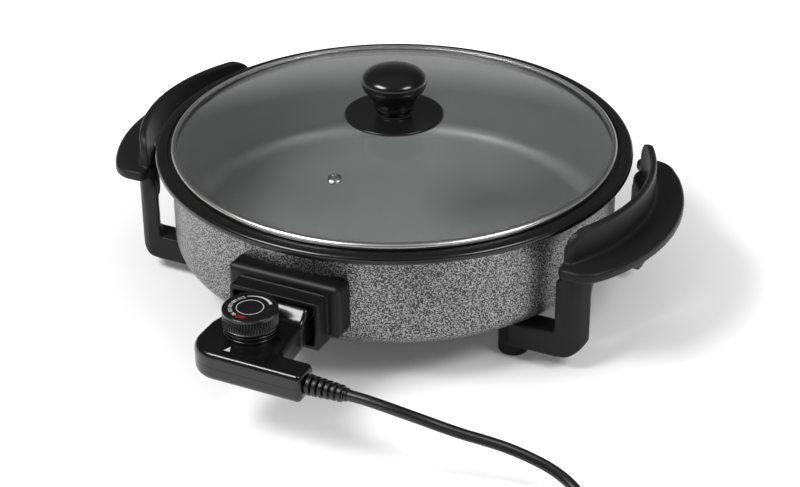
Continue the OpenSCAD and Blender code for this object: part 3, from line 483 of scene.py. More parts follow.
def carve(obj, cutters, sharp=32):
    tools = []
    for i, mesh in enumerate(cutters):
        tool = bpy.data.objects.new(f"{obj.name}Cutter{i}", mesh)
        scene.collection.objects.link(tool)
        cut = obj.modifiers.new("cut", "BOOLEAN")
        cut.operation, cut.solver, cut.object = "DIFFERENCE", "EXACT", tool
        tools.append(tool)
    settle(obj, sharp)
    for tool in tools:
        bpy.data.objects.remove(tool)


def softened(name, node, voxel, rounds, fill):  # moulded copy of a solid and its fill, with all edges eased
    mesh = cadNodes[node].data.copy()
    mesh.name = name
    mesh.materials.clear()
    weld = bmesh.new()
    weld.from_mesh(mesh)
    bmesh.ops.remove_doubles(weld, verts=weld.verts, dist=1e-6)
    for extra in fill:
        weld.from_mesh(extra)
    weld.to_mesh(mesh)
    weld.free()
    holder = bpy.data.objects.new(name, mesh)
    scene.collection.objects.link(holder)
    remesh = holder.modifiers.new("remesh", "REMESH")
    remesh.mode, remesh.voxel_size, remesh.adaptivity = "VOXEL", voxel * mm, 0
    ease = holder.modifiers.new("ease", "SMOOTH")
    ease.factor, ease.iterations = 0.5, rounds
    settle(holder)
    made = holder.data
    bpy.data.objects.remove(holder)
    if made.has_custom_normals:
        made.attributes.remove(made.attributes["custom_normal"])
    return made


def cylinderMesh(name, radius, low, high, spot):
    return lathe(name, [(0, low), (radius, low), (radius, high), (0, high)], 48, spot)


def alongX(x, y, z):
    return Matrix.Translation((x, y, z)) @ Matrix.Rotation(math.pi / 2, 4, "Y")


def outY(x, y, z):
    return Matrix.Translation((x, y, z)) @ Matrix.Rotation(math.pi / 2, 4, "X")


# mains lead
lead = {
    "diameter": 9.0,
    "exit": (103, -298.5, 72.5),
    "route": [(112, -298.5, 72.5), (123, -298.5, 72), (143, -297, 69), (162, -292.5, 63.5), (178, -286, 56.5),
              (192, -278, 49), (206, -269.5, 42), (221, -262, 35), (238, -257, 28), (256, -255, 21),
              (273, -258, 14.5), (287, -267, 9.5), (296, -281, 7), (300, -299, 6.3), (300, -320, 6.3),
              (300, -343, 6.3), (300, -356, 6.3)],
    "centre": (242, -365), "radius": 58, "step": 11, "low": 6.3, "rise": 9.8, "turns": 1.25,
    "tail": 70, "plugHeight": 19.0, "plugStart": -444.0,
}


def coilPoints(c):
    full = 360 * c["turns"]
    points = []
    for a in range(0, int(2 * full + 180) + 1, 15):
        if a < full:
            r, h = c["radius"] - c["step"] * a / 360, 0
        elif a < full + 180:
            r, h = c["radius"] - c["step"] * c["turns"], (1 - math.cos(math.radians(a - full))) / 2
        else:
            r, h = c["radius"] - c["step"] * c["turns"] + c["step"] * (a - full - 180) / 360, 1
        t = math.radians(a)
        x, y = c["centre"][0] + r * math.cos(t), c["centre"][1] - r * math.sin(t)
        points.append((x, y, c["low"] + c["rise"] * h))
    x, top = c["centre"][0] + c["radius"], c["low"] + c["rise"]
    for t in (0.25, 0.5, 0.75, 1):
        ease = t * t * (3 - 2 * t)
        points.append((x, c["centre"][1] - c["tail"] * t, top + (c["plugHeight"] - top) * ease))
    points.append((x, c["plugStart"] - 2, c["plugHeight"]))
    return points


def smoothPath(points, parts=5):
    pts = [Vector(p) for p in points]
    pts = [2 * pts[0] - pts[1], *pts, 2 * pts[-1] - pts[-2]]
    path = []
    for a, b, c, d in zip(pts, pts[1:], pts[2:], pts[3:]):
        for k in range(parts):
            t = k / parts
            path.append(0.5 * (2 * b + (c - a) * t + (2 * a - 5 * b + 4 * c - d) * t * t
                               + (3 * b - a - 3 * c + d) * t ** 3))
    path.append(pts[-2])
    return path


def tubeCurve(name, path, diameter, finish):
    curve = bpy.data.curves.new(name, "CURVE")
    curve.dimensions = "3D"
    curve.bevel_depth = diameter / 2 * mm
    curve.bevel_resolution = 7
    curve.use_fill_caps = True
    spline = curve.splines.new("POLY")
    spline.points.add(len(path) - 1)
    for point, place in zip(spline.points, path):
        point.co = (*(place * mm), 1)
    spline.use_smooth = True
    curve.materials.append(finishes[finish])
    obj = bpy.data.objects.new(name, curve)
    scene.collection.objects.link(obj)
    return obj


leadPath = smoothPath([lead["exit"], *lead["route"], *coilPoints(lead)])
leadLength = sum((b - a).length for a, b in zip(leadPath, leadPath[1:]))
mainsLead = tubeCurve("mainsLead", leadPath, lead["diameter"], "cord")
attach(mainsLead, "thermostat")
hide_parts("cord_lead", "cord_coil")

# strap round the strands of the coil
tie = {"left": 283.5, "y": -371, "width": 12, "wide": 21.2, "high": 19.2, "thick": 1.6, "corner": 3,
       "innerCorner": 1.5, "ease": 0.4}


def addTie(t):
    def loopAt(k, radius):
        x0, x1 = t["left"] - t["thick"] + k, t["left"] + t["wide"] + t["thick"] - k
        z0, z1 = k, t["high"] + 2 * t["thick"] - k
        return rounded([(x0, z0, radius), (x1, z0, radius), (x1, z1, radius), (x0, z1, radius)], True, 15)

    outer, inner = loopAt(0, t["corner"]), loopAt(t["thick"], t["innerCorner"])
    points, faces = [], []
    n = len(outer)
    for loop in (outer, inner):
        for y in (t["y"], t["y"] + t["width"]):
            points += [(x, y, z) for x, z in loop]
    for i in range(n):
        j = (i + 1) % n
        faces += [(i, j, n + j, n + i), (2 * n + i, 2 * n + j, 3 * n + j, 3 * n + i),
                  (i, j, 2 * n + j, 2 * n + i), (n + i, n + j, 3 * n + j, 3 * n + i)]
    obj = addPiece("cordTie", makeMesh("cordTie", points, faces), "thermostat", "tie", "plug_plastic",
                   "cord_tie")
    ease = obj.modifiers.new("ease", "BEVEL")
    ease.width, ease.segments, ease.limit_method = t["ease"] * mm, 2, "ANGLE"
    settle(obj, 32)
    return obj


cordTie = addTie(tie)

# moulded mains plug, lying on its side; profiles run from the cord to the face
plug = {
    "x": lead["centre"][0] + lead["radius"], "y": lead["plugStart"], "z": lead["plugHeight"],
    "tail": [(0, 0), (5.2, 0, 1), (6.0, 1.5, 1)],
    "rings": 4, "firstRing": 4, "ringPitch": 4.4, "ringGrow": 0.75,
    "body": [(10, 21.5, 3), (17.3, 30, 5), (17.5, 49, 0.6), (18.9, 50.4, 0.8), (18.9, 58, 1.2),
             (15.6, 58, 0.5), (15.6, 56.6, 0.3), (0, 56.6)],
    "earthSlot": 2.5, "earthSide": 19.0, "earthLow": 46, "earthHigh": 70,
}


def addPlug(p):
    profile = list(p["tail"])
    for k in range(p["rings"]):
        h, grow = p["firstRing"] + k * p["ringPitch"], k * p["ringGrow"]
        profile += [(6.4 + grow, h, 0.5), (5.5 + grow, h + 0.8, 0.4), (5.6 + grow, h + 2.2, 0.4),
                    (6.6 + k * 0.8, h + 3, 0.5)]
    mesh = lathe("mainsPlug", rounded(profile + p["body"], step=15), 72, outY(p["x"], p["y"], p["z"]))
    obj = addPiece("mainsPlug", mesh, "thermostat", "plug", "plug_plastic", "mains_plug")
    k = p["earthSlot"]
    carve(obj, [prism("slot", [(-k, -k), (k, -k), (k, k), (-k, k)], [(0, p["earthLow"]), (0, p["earthHigh"])],
                      spot=outY(p["x"] + side * p["earthSide"], p["y"], p["z"])) for side in (-1, 1)])
    return obj


mainsPlug = addPlug(plug)
print("lead laid:", round(leadLength), "mm")

# strain relief, ribbed and tapering towards the cord
relief = {
    "spot": (67, -298.5, 72.5), "ribs": 6, "firstRib": 2, "pitch": 5.35, "first": 8.7, "fall": 0.33,
    "groove": 5.3, "grooveFall": 0.08,
    "flange": [(0, -4.4), (8.7, -4.4, 0.3), (8.7, -2.6, 0.3), (6.7, -2.6), (6.7, 1.2, 0.6)],
    "tip": [(5.6, 34.4, 0.5), (5.3, 36, 0.5), (0, 36)],
}


def addRelief(r):
    profile = list(r["flange"])
    for k in range(r["ribs"]):
        outside, groove = r["first"] - r["fall"] * k, r["groove"] - r["grooveFall"] * k
        h = r["firstRib"] + k * r["pitch"]
        profile += [(outside, h - 0.5, 0.9), (outside - 0.2, h + 3.0, 0.9), (groove, h + 3.4, 0.5),
                    (groove, h + 4.4, 0.4)]
    mesh = lathe("strainRelief", rounded(profile + r["tip"], step=18), 64, alongX(*r["spot"]))
    addPiece("strainRelief", mesh, "thermostat", "relief", "cord_rubber", "strain_relief")


addRelief(relief)

# pan: cast bowl with hammered paint outside and dark coating inside
pan = {"bottom": 39, "top": 136, "radius": 200.5, "inside": 196.5, "rim": 214, "lip": 128.5, "seat": 134.4,
       "seatRadius": 203.5, "floor": 45, "baseCorner": 18, "bowlCorner": 14, "steps": 256}


def addPan(p):
    outside = rounded([(0, p["bottom"]), (p["radius"], p["bottom"], p["baseCorner"]),
                       (p["radius"], p["lip"], 4), (p["rim"], p["lip"], 0.5)], step=6)[:-1]
    rim = rounded([(p["radius"] + 4, p["lip"]), (p["rim"], p["lip"], 3.2), (p["rim"], p["top"], 3.4),
                   (p["seatRadius"], p["top"], 1.1), (p["seatRadius"], p["seat"], 0.4),
                   (p["inside"], p["seat"], 1.2), (p["inside"], p["seat"] - 6)], step=8)[1:]
    bowl = rounded([(p["inside"], p["seat"] - 7), (p["inside"], p["floor"], p["bowlCorner"]),
                    (0, p["floor"])], step=6)
    mesh = lathe("panBowl", outside + rim + bowl, p["steps"])
    for finish in ("hammer", "rim", "nonStick"):
        mesh.materials.append(finishes[finish])
    rimStart, bowlStart = len(outside) - 1, len(outside) + len(rim)
    for face in mesh.polygons:
        band = face.index // p["steps"]
        face.material_index = 0 if band < rimStart else 1 if band < bowlStart else 2
    addPiece("panBowl", mesh, "pan", "hammer", "hammered_pan", "pan_body")


addPan(pan)

# cast details under the pan: element ribs, screw bosses and the pad behind the socket
casting = {
    "bottom": pan["bottom"], "ringRadius": 115, "ribGap": 3.5, "ribThick": 2.5, "ribDrop": 4, "gate": 21.5,
    "steps": 120,
    "bosses": (152, 79), "bossRadius": 6, "bossBore": 2, "bossDrop": 8, "bossTop": 8.5,
    "padHalf": 38, "padFace": -209, "padBack": -198, "padLow": 58, "padHigh": 100,
    "probeHole": 5, "probeZ": 76, "tailX": 22, "tailHalf": 3.5, "tailDepth": -201.5, "tailTop": 75.5,
    "feet": ((-27.5, -25.5), (-18.5, 18.5), (25.5, 27.5)), "footBack": -196, "footLow": 40.5,
    "footHigh": 58.2,
}


def addRibs(c):  # two open rings that hold the element
    points, faces = [], []
    steps = c["steps"]
    start, sweep = math.radians(-90 + c["gate"]), math.radians(360 - 2 * c["gate"])
    low, high = c["bottom"] - c["ribDrop"], c["bottom"] + 0.5
    for r in (c["ringRadius"] - c["ribGap"] - c["ribThick"], c["ringRadius"] + c["ribGap"]):
        out = r + c["ribThick"]
        section = rounded([(r, high), (r, low, 0.7), (out, low, 0.7), (out, high)], step=30)
        first, n = len(points), len(section)
        for k in range(steps + 1):
            a = start + sweep * k / steps
            points += [(q * math.cos(a), q * math.sin(a), z) for q, z in section]
        for k in range(steps):
            for i in range(n):
                j = (i + 1) % n
                a = first + k * n
                faces.append((a + i, a + j, a + n + j, a + n + i))
        faces += [tuple(range(first, first + n)), tuple(range(first + steps * n, first + steps * n + n))]
    addPiece("panRibs", makeMesh("panRibs", points, faces), "pan", "hammer", "hammered_pan")


def addBosses(c):
    bore, out, top = c["bossBore"], c["bossRadius"], c["bossTop"]
    profile = rounded([(bore, top), (bore, 0, 0.2), (out, 0, 0.6), (out, top)], step=30)
    for i, (sx, sy) in enumerate(((1, 1), (1, -1), (-1, 1), (-1, -1))):
        spot = Matrix.Translation((sx * c["bosses"][0], sy * c["bosses"][1], c["bottom"] - c["bossDrop"]))
        mesh = lathe("panBoss", profile, 48, spot, closed=True)
        addPiece(f"panBoss{i}", mesh, "pan", "hammer", "hammered_pan")


def addPad(c):
    half, face, back, low, high = c["padHalf"], c["padFace"], c["padBack"], c["padLow"], c["padHigh"]
    outline = rounded([(-half, face, 1.5), (half, face, 1.5), (half, back, 0), (-half, back, 0)], True, 30)
    mesh = prism("panPad", outline, [(1, low), (0, low + 1), (0, high - 1), (1, high)])
    obj = addPiece("panPad", mesh, "pan", "hammer", "hammered_pan")
    cuts = [cylinderMesh("hole", c["probeHole"], 190, 215, outY(0, 0, c["probeZ"]))]
    for side in (-1, 1):
        x0, x1 = side * c["tailX"] - c["tailHalf"], side * c["tailX"] + c["tailHalf"]
        tail = [(x0, face - 6), (x1, face - 6), (x1, c["tailDepth"]), (x0, c["tailDepth"])]
        cuts.append(prism("slot", tail, [(0, low - 8), (0, c["tailTop"])]))
    carve(obj, cuts)
    for i, (x0, x1) in enumerate(c["feet"]):
        foot = [(x0, face, 0.6), (x1, face, 0.6), (x1, c["footBack"], 0), (x0, c["footBack"], 0)]
        mesh = prism("panPadFoot", rounded(foot, True, 30), [(0, c["footLow"]), (0, c["footHigh"])])
        addPiece(f"panPadFoot{i}", mesh, "pan", "hammer", "hammered_pan")


addRibs(casting)
addBosses(casting)
addPad(casting)
print("pan made")

# lid: domed glass in a rolled steel band
lid = {"radius": 200, "seat": pan["seat"], "edgeLow": 135.4, "edgeHigh": 139.4, "glass": 197.7, "dome": 189.7,
       "rise": 20.5, "thick": 4.0, "hole": 4.0, "vent": 117.5, "ventHole": 4.3, "domeSteps": 48,
       "band": 6.0, "bandBore": 2.1, "bandLip": 4.5, "seamTurn": 131.9, "seamHalf": 3.2}
domeRadius = (lid["dome"] ** 2 + lid["rise"] ** 2) / (2 * lid["rise"])
domeTop = lid["edgeHigh"] + lid["rise"]
domeCentre = domeTop - domeRadius
ventTilt = math.asin(lid["vent"] / domeRadius)
ventSpot = (Matrix.Translation((0, 0, domeCentre)) @ Matrix.Rotation(ventTilt, 4, "X")
            @ Matrix.Translation((0, 0, domeRadius)))


def addGlass(g):
    outer, inner = [], []
    for k in range(g["domeSteps"] + 1):
        r = g["hole"] + (g["dome"] - 1.5 - g["hole"]) * k / g["domeSteps"]
        outer.append((r, domeCentre + math.sqrt(domeRadius ** 2 - r * r)))
        inner.append((r, domeCentre + math.sqrt((domeRadius - g["thick"]) ** 2 - r * r)))
    rim = rounded([(g["dome"] + 2, g["edgeHigh"]), (g["glass"], g["edgeHigh"], 1.6),
                   (g["glass"], g["edgeLow"], 1.6), (g["dome"] + 1, g["edgeLow"])], step=15)
    inner = [p for p in inner if p[1] > g["edgeLow"]]
    mesh = lathe("lidGlass", outer + rim + inner[::-1], 192, closed=True, sharp=60)
    obj = addPiece("lidGlass", mesh, "lid", "glass", "clear_glass", "lid_glass")
    carve(obj, [cylinderMesh("ventCut", g["ventHole"], -20, 20, ventSpot)], 60)


addGlass(lid)


def addBand(g):
    r, z, h, bore = g["radius"], g["seat"], g["band"], g["bandBore"]
    back = [(r - h / 2 + h / 2 * math.cos(a), z + h / 2 + h / 2 * math.sin(a))
            for a in (math.radians(90 - 9 * k) for k in range(21))]
    inner = [(r - h / 2 + bore * math.cos(a), z + h / 2 + bore * math.sin(a))
             for a in (math.radians(-90 + 15 * k) for k in range(13))]
    lip, top = r - g["bandLip"], z + h
    profile = [(lip, top - 0.75), (lip + 0.3, top), *back, (lip + 0.3, z), (lip, z + 0.75), *inner]
    mesh = lathe("lidBand", profile, 256, closed=True, sharp=40)
    addPiece("lidBand", mesh, "lid", "band", "bright_steel", "lid_band")
    seam = Matrix.Rotation(math.radians(g["seamTurn"]), 4, "Z")
    x0, x1, k = r - 4.4, r - 1.6, g["seamHalf"]
    clip = rounded([(x0, -k, 0.4), (x1, -k, 0.4), (x1, k, 0.4), (x0, k, 0.4)], True, 30)
    mesh = prism("bandJoint", clip, [(0, top - 0.4), (0, top + 0.05), (0.25, top + 0.25)], spot=seam)
    addPiece("bandJoint", mesh, "lid", "band", "bright_steel")


addBand(lid)

# rolled eyelet through the glass
vent = rounded([(2.3, 1.6), (2.3, 1.5), (2.6, 1.9, 0.2), (5.4, 1.35, 0.7), (7.0, 0.05, 0.3), (4.1, 0.05),
                (4.1, -4.05), (5.4, -4.05, 0.2), (5.4, -5.0, 0.3), (2.3, -5.0, 0.2)], step=15)
addPiece("ventEyelet", lathe("ventEyelet", vent, 48, ventSpot, closed=True), "lid", "bright", "bright_steel",
         "vent_eyelet")

# knob on its plate
knob = {
    "plate": 160.1, "plateRadius": 44.5, "plateHole": 2.7, "foot": 162.7, "top": 206.7, "widest": 194.7,
    "radius": 29.4, "bore": 2.5, "steps": 160,
    "neck": [(15.6, 0), (15.2, 0.8), (15.2, 3.7), (15.4, 4.3), (15.8, 4.6), (16.9, 4.9), (17.9, 5.6),
             (18.6, 6.6), (18.95, 7.8), (19.0, 8.8)],  # above the foot
    "under": [(18.9, 22.5), (19.1, 20), (19.9, 17.6), (21.3, 15.4), (23.2, 13.2), (25.3, 10.8), (27.1, 8.2),
              (28.4, 5.6), (29.1, 3.2), (29.36, 1.5)],  # below the widest ring
}


def addKnobPlate(k):
    low, high, hole, out = k["plate"], k["foot"], k["plateHole"], k["plateRadius"]
    plate = rounded([(hole, low), (22, low), (22.4, low + 0.6, 0.3), (42.6, low + 0.6, 0.2), (43.2, low, 0.2),
                     (out, low, 1.1), (out, high, 1.2), (41.5, high, 3), (24, high - 0.25, 2),
                     (hole, high - 0.25)], step=12)
    mesh = lathe("knobPlate", plate, k["steps"], closed=True)
    addPiece("knobPlate", mesh, "lid", "knob", "knob_plastic", "knob_plate")


def addKnob(k):
    base, wide = k["foot"], k["widest"]
    crown = [(k["radius"] * math.sin(t) ** 0.95, wide + (k["top"] - wide) * math.cos(t))
             for t in (math.pi / 2 * (1 - i / 26) for i in range(1, 26))]
    neck = [(r, base + h) for r, h in k["neck"]]
    under = [(r, wide - h) for r, h in k["under"]]
    profile = [(k["bore"], base), *neck, *under, (k["radius"], wide), *crown, (0, k["top"])]
    mesh = lathe("lidKnob", profile, k["steps"], sharp=50)
    addPiece("lidKnob", mesh, "lid", "knob", "knob_plastic", "lid_knob")


addKnobPlate(knob)
addKnob(knob)
print("lid made")

# handles and socket, moulded: eased copies of their solids, with fuller ledges and posts
grip = {"centre": 68, "radius": 164, "ledgeCentre": 87, "ledgeRadius": 178.3, "ledgeNear": 109,
        "ledgeFar": 115, "ledgeLow": 98.2, "ledgeHigh": 108, "outerCorner": 25, "innerCorner": 7,
        "stopAngle": 18, "stopRadius": 7.2, "webLow": 17, "webHigh": 96,
        "web": [(193.8, -96), (207, -96), (214.5, -76), (211.5, -72.5), (206, -76)],
        "postRadius": 167.25, "postY": 87, "postHalf": 13.5, "gusset": 26, "gussetDepth": 12}


def ledgeFill(g):
    def inner(y):
        return g["centre"] + math.sqrt((g["radius"] + 1) ** 2 - y * y)

    def outer(y):
        return g["ledgeCentre"] + math.sqrt(g["ledgeRadius"] ** 2 - y * y)

    near, far, low, high = -g["ledgeNear"], g["ledgeFar"], g["ledgeLow"], g["ledgeHigh"]
    outline = [(inner(near), near, g["innerCorner"]), (outer(near), near, g["outerCorner"]),
               *((outer(y), y) for y in range(-92, 93, 4)),
               (outer(far), far, g["outerCorner"]), (inner(far), far, g["innerCorner"]),
               *((inner(y), y) for y in range(96, -97, -4))]
    return prism("fill", rounded(outline, True),
                 [(1.5, low), (0, low + 1.5), (0, high - 2.5), (0.7, high - 0.7), (2.5, high)])


def webFill(g):  # fuller post
    top = g["webHigh"]
    return prism("fill", g["web"], [(0, g["webLow"]), (0, top - 9), (1.5, top - 4), (3.2, top)])


def gussetFill(g):  # curved panel from the post to the underside of the wall
    turn = math.asin(g["postY"] / g["postRadius"])
    c, t = math.cos(turn), math.sin(turn)
    atPost = Matrix(((t, 0, c, g["centre"] + g["postRadius"] * c), (c, 0, -t, -g["postY"]), (0, 1, 0, 0),
                     (0, 0, 0, 1)))
    r, k, deep, low = g["gusset"], g["postHalf"], g["gussetDepth"], g["ledgeLow"]
    angles = [math.radians(9 * i) for i in range(11)]
    arc = [(k + r - r * math.cos(a), low - r + r * math.sin(a)) for a in angles]
    panel = [(-8, low - r), *arc, (k + r, low + 8), (-8, low + 8)]
    return prism("fill", panel, [(5.0, -deep), (2.2, 1.6 - deep), (0, 6.0 - deep), (0, 4)], spot=atPost)


def stopFill(g):  # round stop under the ledge
    spot = Matrix.Translation((g["ledgeCentre"], 0, g["ledgeLow"] + 1))
    turn = Matrix.Rotation(math.radians(g["stopAngle"]), 4, "Z") @ Matrix.Rotation(math.pi / 2, 4, "Y")
    return cylinderMesh("fill", g["stopRadius"], g["ledgeRadius"] - 20, g["ledgeRadius"] - 2.5, spot @ turn)


def handleFill(g, side):
    made = [ledgeFill(g)]
    for end in (1, -1):
        for mesh in (webFill(g), gussetFill(g), stopFill(g)):
            mesh.transform(Matrix.Diagonal((1, end, 1, 1)))
            made.append(mesh)
    for mesh in made:
        mesh.transform(Matrix.Diagonal((side, 1, 1, 1)))
        faceOut(mesh)
    return made


moulded = {"left_handle": ("leftHandle", "satin", 1.3, 9, handleFill(grip, -1)),
           "right_handle": ("rightHandle", "satin", 1.3, 9, handleFill(grip, 1)),
           "socket_shroud": ("socketShroud", "shroud", 0.75, 7, ())}
for node, (name, finish, voxel, rounds, fill) in moulded.items():
    addPiece(name, softened(name, node, voxel, rounds, fill), "pan", finish, "handle_plastic", node)
print("handles made")

# thermostat housing: two hollow shells
case = {
    "outline": [(33, -217.1, 1.2), (-33, -217.1, 1.2), (-33, -246, 9), (-38, -266, 14), (-38, -311, 25),
                (67, -311, 4.5), (67, -286, 4.5), (37.4, -286, 7.5), (33, -246, 12)],
    "split": 72.5, "low": 60, "high": 85, "edge": 4.1, "drop": 6.0, "wall": 2.5,
    "plugHoles": ((-22, 72, 3.5), (22, 72, 3.5), (0, 66, 2.5), (0, 76, 4.6)), "reliefHole": 6.75,
    "spindleHole": 4.06, "spindleY": -267,
}
spindleSpot = Matrix.Translation((0, case["spindleY"], 0))


def shell(name, outline, outer, inner):  # open moulding: outer skin, inner skin and the edge between them
    count = len(outline)
    points, faces = levelPoints(outline, outer + inner), []
    for level in range(len(outer) + len(inner) - 1):
        if level != len(outer) - 1:
            faces += sideFaces(count, level)
    first = len(outer) * count
    faces += [(i, (i + 1) % count, first + (i + 1) % count, first + i) for i in range(count)]
    faces.append(tuple(range(first - count, first)))
    faces.append(tuple(range(len(points) - count, len(points))))
    return makeMesh(name, points, faces)


def addCase(c):
    outline = rounded(c["outline"], True, 7.5)
    arc = [math.radians(7.5 * k) for k in range(13)]
    e, b, w = c["edge"], c["drop"], c["wall"]
    for name, way, end, node in (("caseUpper", 1, c["high"], "thermostat_upper_shell"),
                                 ("caseLower", -1, c["low"], "thermostat_lower_shell")):
        split = c["split"] + way * 0.03
        outer = [(0.06, split), (0, split + way * 0.08), (0, split + way * 0.6), (0, end - way * (b + 0.8))]
        outer += [(e - e * math.cos(a), end - way * (b - b * math.sin(a))) for a in arc] + [(e + 0.3, end)]
        inner = [(w, split), (w, end - way * (w + 1)), (w + 0.3, end - way * (w + 0.3)),
                 (w + 1, end - way * w)]
        obj = addPiece(name, shell(name, outline, outer, inner), "thermostat", "case", "case_plastic", node)
        cuts = [cylinderMesh("hole", r, 210, 222, outY(x, 0, z)) for x, z, r in c["plugHoles"]]
        cuts.append(cylinderMesh("hole", c["reliefHole"], -6, 6, alongX(*relief["spot"])))
        if way == 1:
            cuts.append(cylinderMesh("hole", c["spindleHole"], 70, 100, spindleSpot))
        carve(obj, cuts)


addCase(case)

# raised end of the neck, ramped up to the socket's mouth
shoulder = {"front": -243.0, "crest": -231.6, "back": -218.5, "sunk": 80.0, "low": 85.0, "high": 93.4,
            "half": 32.7, "edge": 3.4, "steps": 24}


def addShoulder(n):
    run, rise = n["crest"] - n["front"], n["high"] - n["low"]
    ramp = []
    for k in range(n["steps"] + 1):
        t = k / n["steps"]
        ramp.append((n["front"] + run * t, n["low"] + 0.03 + rise * (t * t * (2.2 - 1.2 * t))))
    section = [(n["front"], n["sunk"]), (n["back"], n["sunk"]), (n["back"], n["high"])] + ramp[::-1]
    across = Matrix(((0, 0, 1, 0), (1, 0, 0, 0), (0, 1, 0, 0), (0, 0, 0, 1)))
    e, half = n["edge"], n["half"]
    arc = [math.radians(15 * k) for k in range(7)]
    ends = [(e - e * math.sin(a), half - e + e * math.cos(a)) for a in arc]
    levels = [(amount, -x) for amount, x in ends] + [(amount, x) for amount, x in ends[::-1]]
    mesh = prism("neckShoulder", section, levels, spot=across, sharp=40)
    addPiece("neckShoulder", mesh, "thermostat", "case", "case_plastic")


addShoulder(shoulder)

# grooved seat under the dial
seat = rounded([(case["spindleHole"], 84.6), (22.2, 84.6), (22.2, 87.8, 1.0), (20.6, 88.0, 0.3),
                (20.6, 88.9, 0.3), (22.0, 89.1, 0.9), (22.0, 91.4, 0.9), (18.5, 92.6, 0.4),
                (case["spindleHole"], 92.6)], step=15)
seatMesh = lathe("dialSeat", seat, 96, spindleSpot, closed=True)
addPiece("dialSeat", seatMesh, "thermostat", "case", "case_plastic")


def flatPrint(name, loops, z, body, finish, slot, spot):  # thin printed shapes, just proud of their face
    points, faces = [], []
    for loop in loops:
        first, n = len(points), len(loop)
        points += [(x, y, z + 0.05) for x, y in loop] + [(x, y, z - 0.1) for x, y in loop]
        faces.append(tuple(range(first, first + n)))
        faces.append(tuple(reversed(range(first + n, first + 2 * n))))
        faces += [(first + i, first + n + i, first + n + (i + 1) % n, first + (i + 1) % n) for i in range(n)]
    points = [tuple(spot @ Vector(p)) for p in points]
    return addPiece(name, makeMesh(name, points, faces, smooth=False), body, finish, slot)


pointer = [(-6.2, -300.6), (-0.8, -300.6), (-3.4, -294.0)]
flatPrint("casePointer", [pointer], case["high"], "thermostat", "white", "case_plastic", Matrix.Identity(4))

# dial with fine ribs and its printed scale
dial = {"low": 93.1, "high": 108.1, "radius": 23, "bore": 4.0, "ribs": 60, "ribDepth": 0.8, "ribSteps": 8,
        "corner": 1.1, "face": 0.3, "numbers": ("90", "120", "150", "180", "210"), "numberSize": 4.3,
        "offSize": 4.8, "offAngle": -90, "firstAngle": -116, "stepAngle": -25, "numberRadius": 16.2,
        "wedge": (127, 40, 17.0), "ring": (10.6, 11.2)}


def ribbed(rows, ribs, per):
    steps = ribs * per
    points, faces = [], []
    for r, z, depth in rows:
        for k in range(steps):
            a = 2 * math.pi * k / steps
            wave = (0.5 - 0.5 * math.cos(a * ribs)) ** 1.6
            q = r - depth * wave
            points.append((q * math.cos(a), q * math.sin(a), z))
    for row in range(len(rows) - 1):
        faces += sideFaces(steps, row)
    faces.append(tuple(reversed(range(steps))))
    faces.append(tuple(range((len(rows) - 1) * steps, len(rows) * steps)))
    return points, faces


def ringSection(a0, a1, r0, r1, steps=40):
    inner, outer = [], []
    for k in range(steps + 1):
        t = k / steps
        a = math.radians(a0 + (a1 - a0) * t)
        low, high = r0(t), r1(t)
        inner.append((low * math.cos(a), low * math.sin(a)))
        outer.append((high * math.cos(a), high * math.sin(a)))
    return inner + outer[::-1]


def dialText(name, words, size, radius, angle, z, finish):
    data = bpy.data.curves.new(name, "FONT")
    data.body, data.size = words, size * mm
    data.align_x, data.align_y = "CENTER", "CENTER"
    data.extrude, data.offset = 0.06 * mm, 0.05 * mm
    holder = bpy.data.objects.new(name, data)
    scene.collection.objects.link(holder)
    graph = bpy.context.evaluated_depsgraph_get()
    mesh = bpy.data.meshes.new_from_object(holder.evaluated_get(graph))
    bpy.data.objects.remove(holder)
    a = math.radians(angle)
    turn = Matrix.Rotation(a + math.pi / 2, 4, "Z")  # top of the figures towards the dial's centre
    place = Matrix.Translation((radius * math.cos(a) * mm, radius * math.sin(a) * mm, z * mm))
    shift = spindleSpot.copy()
    shift.translation *= mm
    mesh.transform(shift @ place @ turn)
    mesh.materials.clear()
    addPiece(name, mesh, "dial", finish, "dial_plastic")


def addDial(d):
    r, low, high, deep, corner = d["radius"], d["low"], d["high"], d["ribDepth"], d["corner"]
    face = high - d["face"]
    rows = [(r - 1.4, low, 0), (r - 0.6, low + 0.05, 0), (r - 0.1, low + 0.5, 0), (r, low + 1.0, 0),
            (r - 0.1, low + 1.5, 0), (r - 0.5, low + 1.8, 0.1), (r - 0.3, low + 2.2, deep),
            (r - 0.2, high - 4.0, deep), (r - 0.2, high - 3.5, deep * 0.4), (r - 0.15, high - 3.1, 0)]
    for k in range(9):
        a = math.radians(90 * k / 8)
        rows.append((r - 1.2 + corner * math.cos(a), high - corner + corner * math.sin(a), 0))
    rows += [(r - 1.5, high, 0), (r - 1.7, high - 0.05, 0), (r - 2.0, high - 0.25, 0), (r - 2.4, face, 0),
             (11.8, face, 0), (11.5, high - 0.32, 0), (10.4, high - 0.32, 0), (10.2, high - 0.4, 0),
             (9.8, high - 0.55, 0), (9.2, high - 0.6, 0)]
    points, faces = ribbed(rows, d["ribs"], d["ribSteps"])
    points = [tuple(spindleSpot @ Vector(p)) for p in points]
    mesh = makeMesh("dialKnob", points, faces, 40)
    obj = addPiece("dialKnob", mesh, "dial", "dial", "dial_plastic", "dial_knob")
    carve(obj, [cylinderMesh("hole", d["bore"], low - 2, high - 3, spindleSpot)], 40)


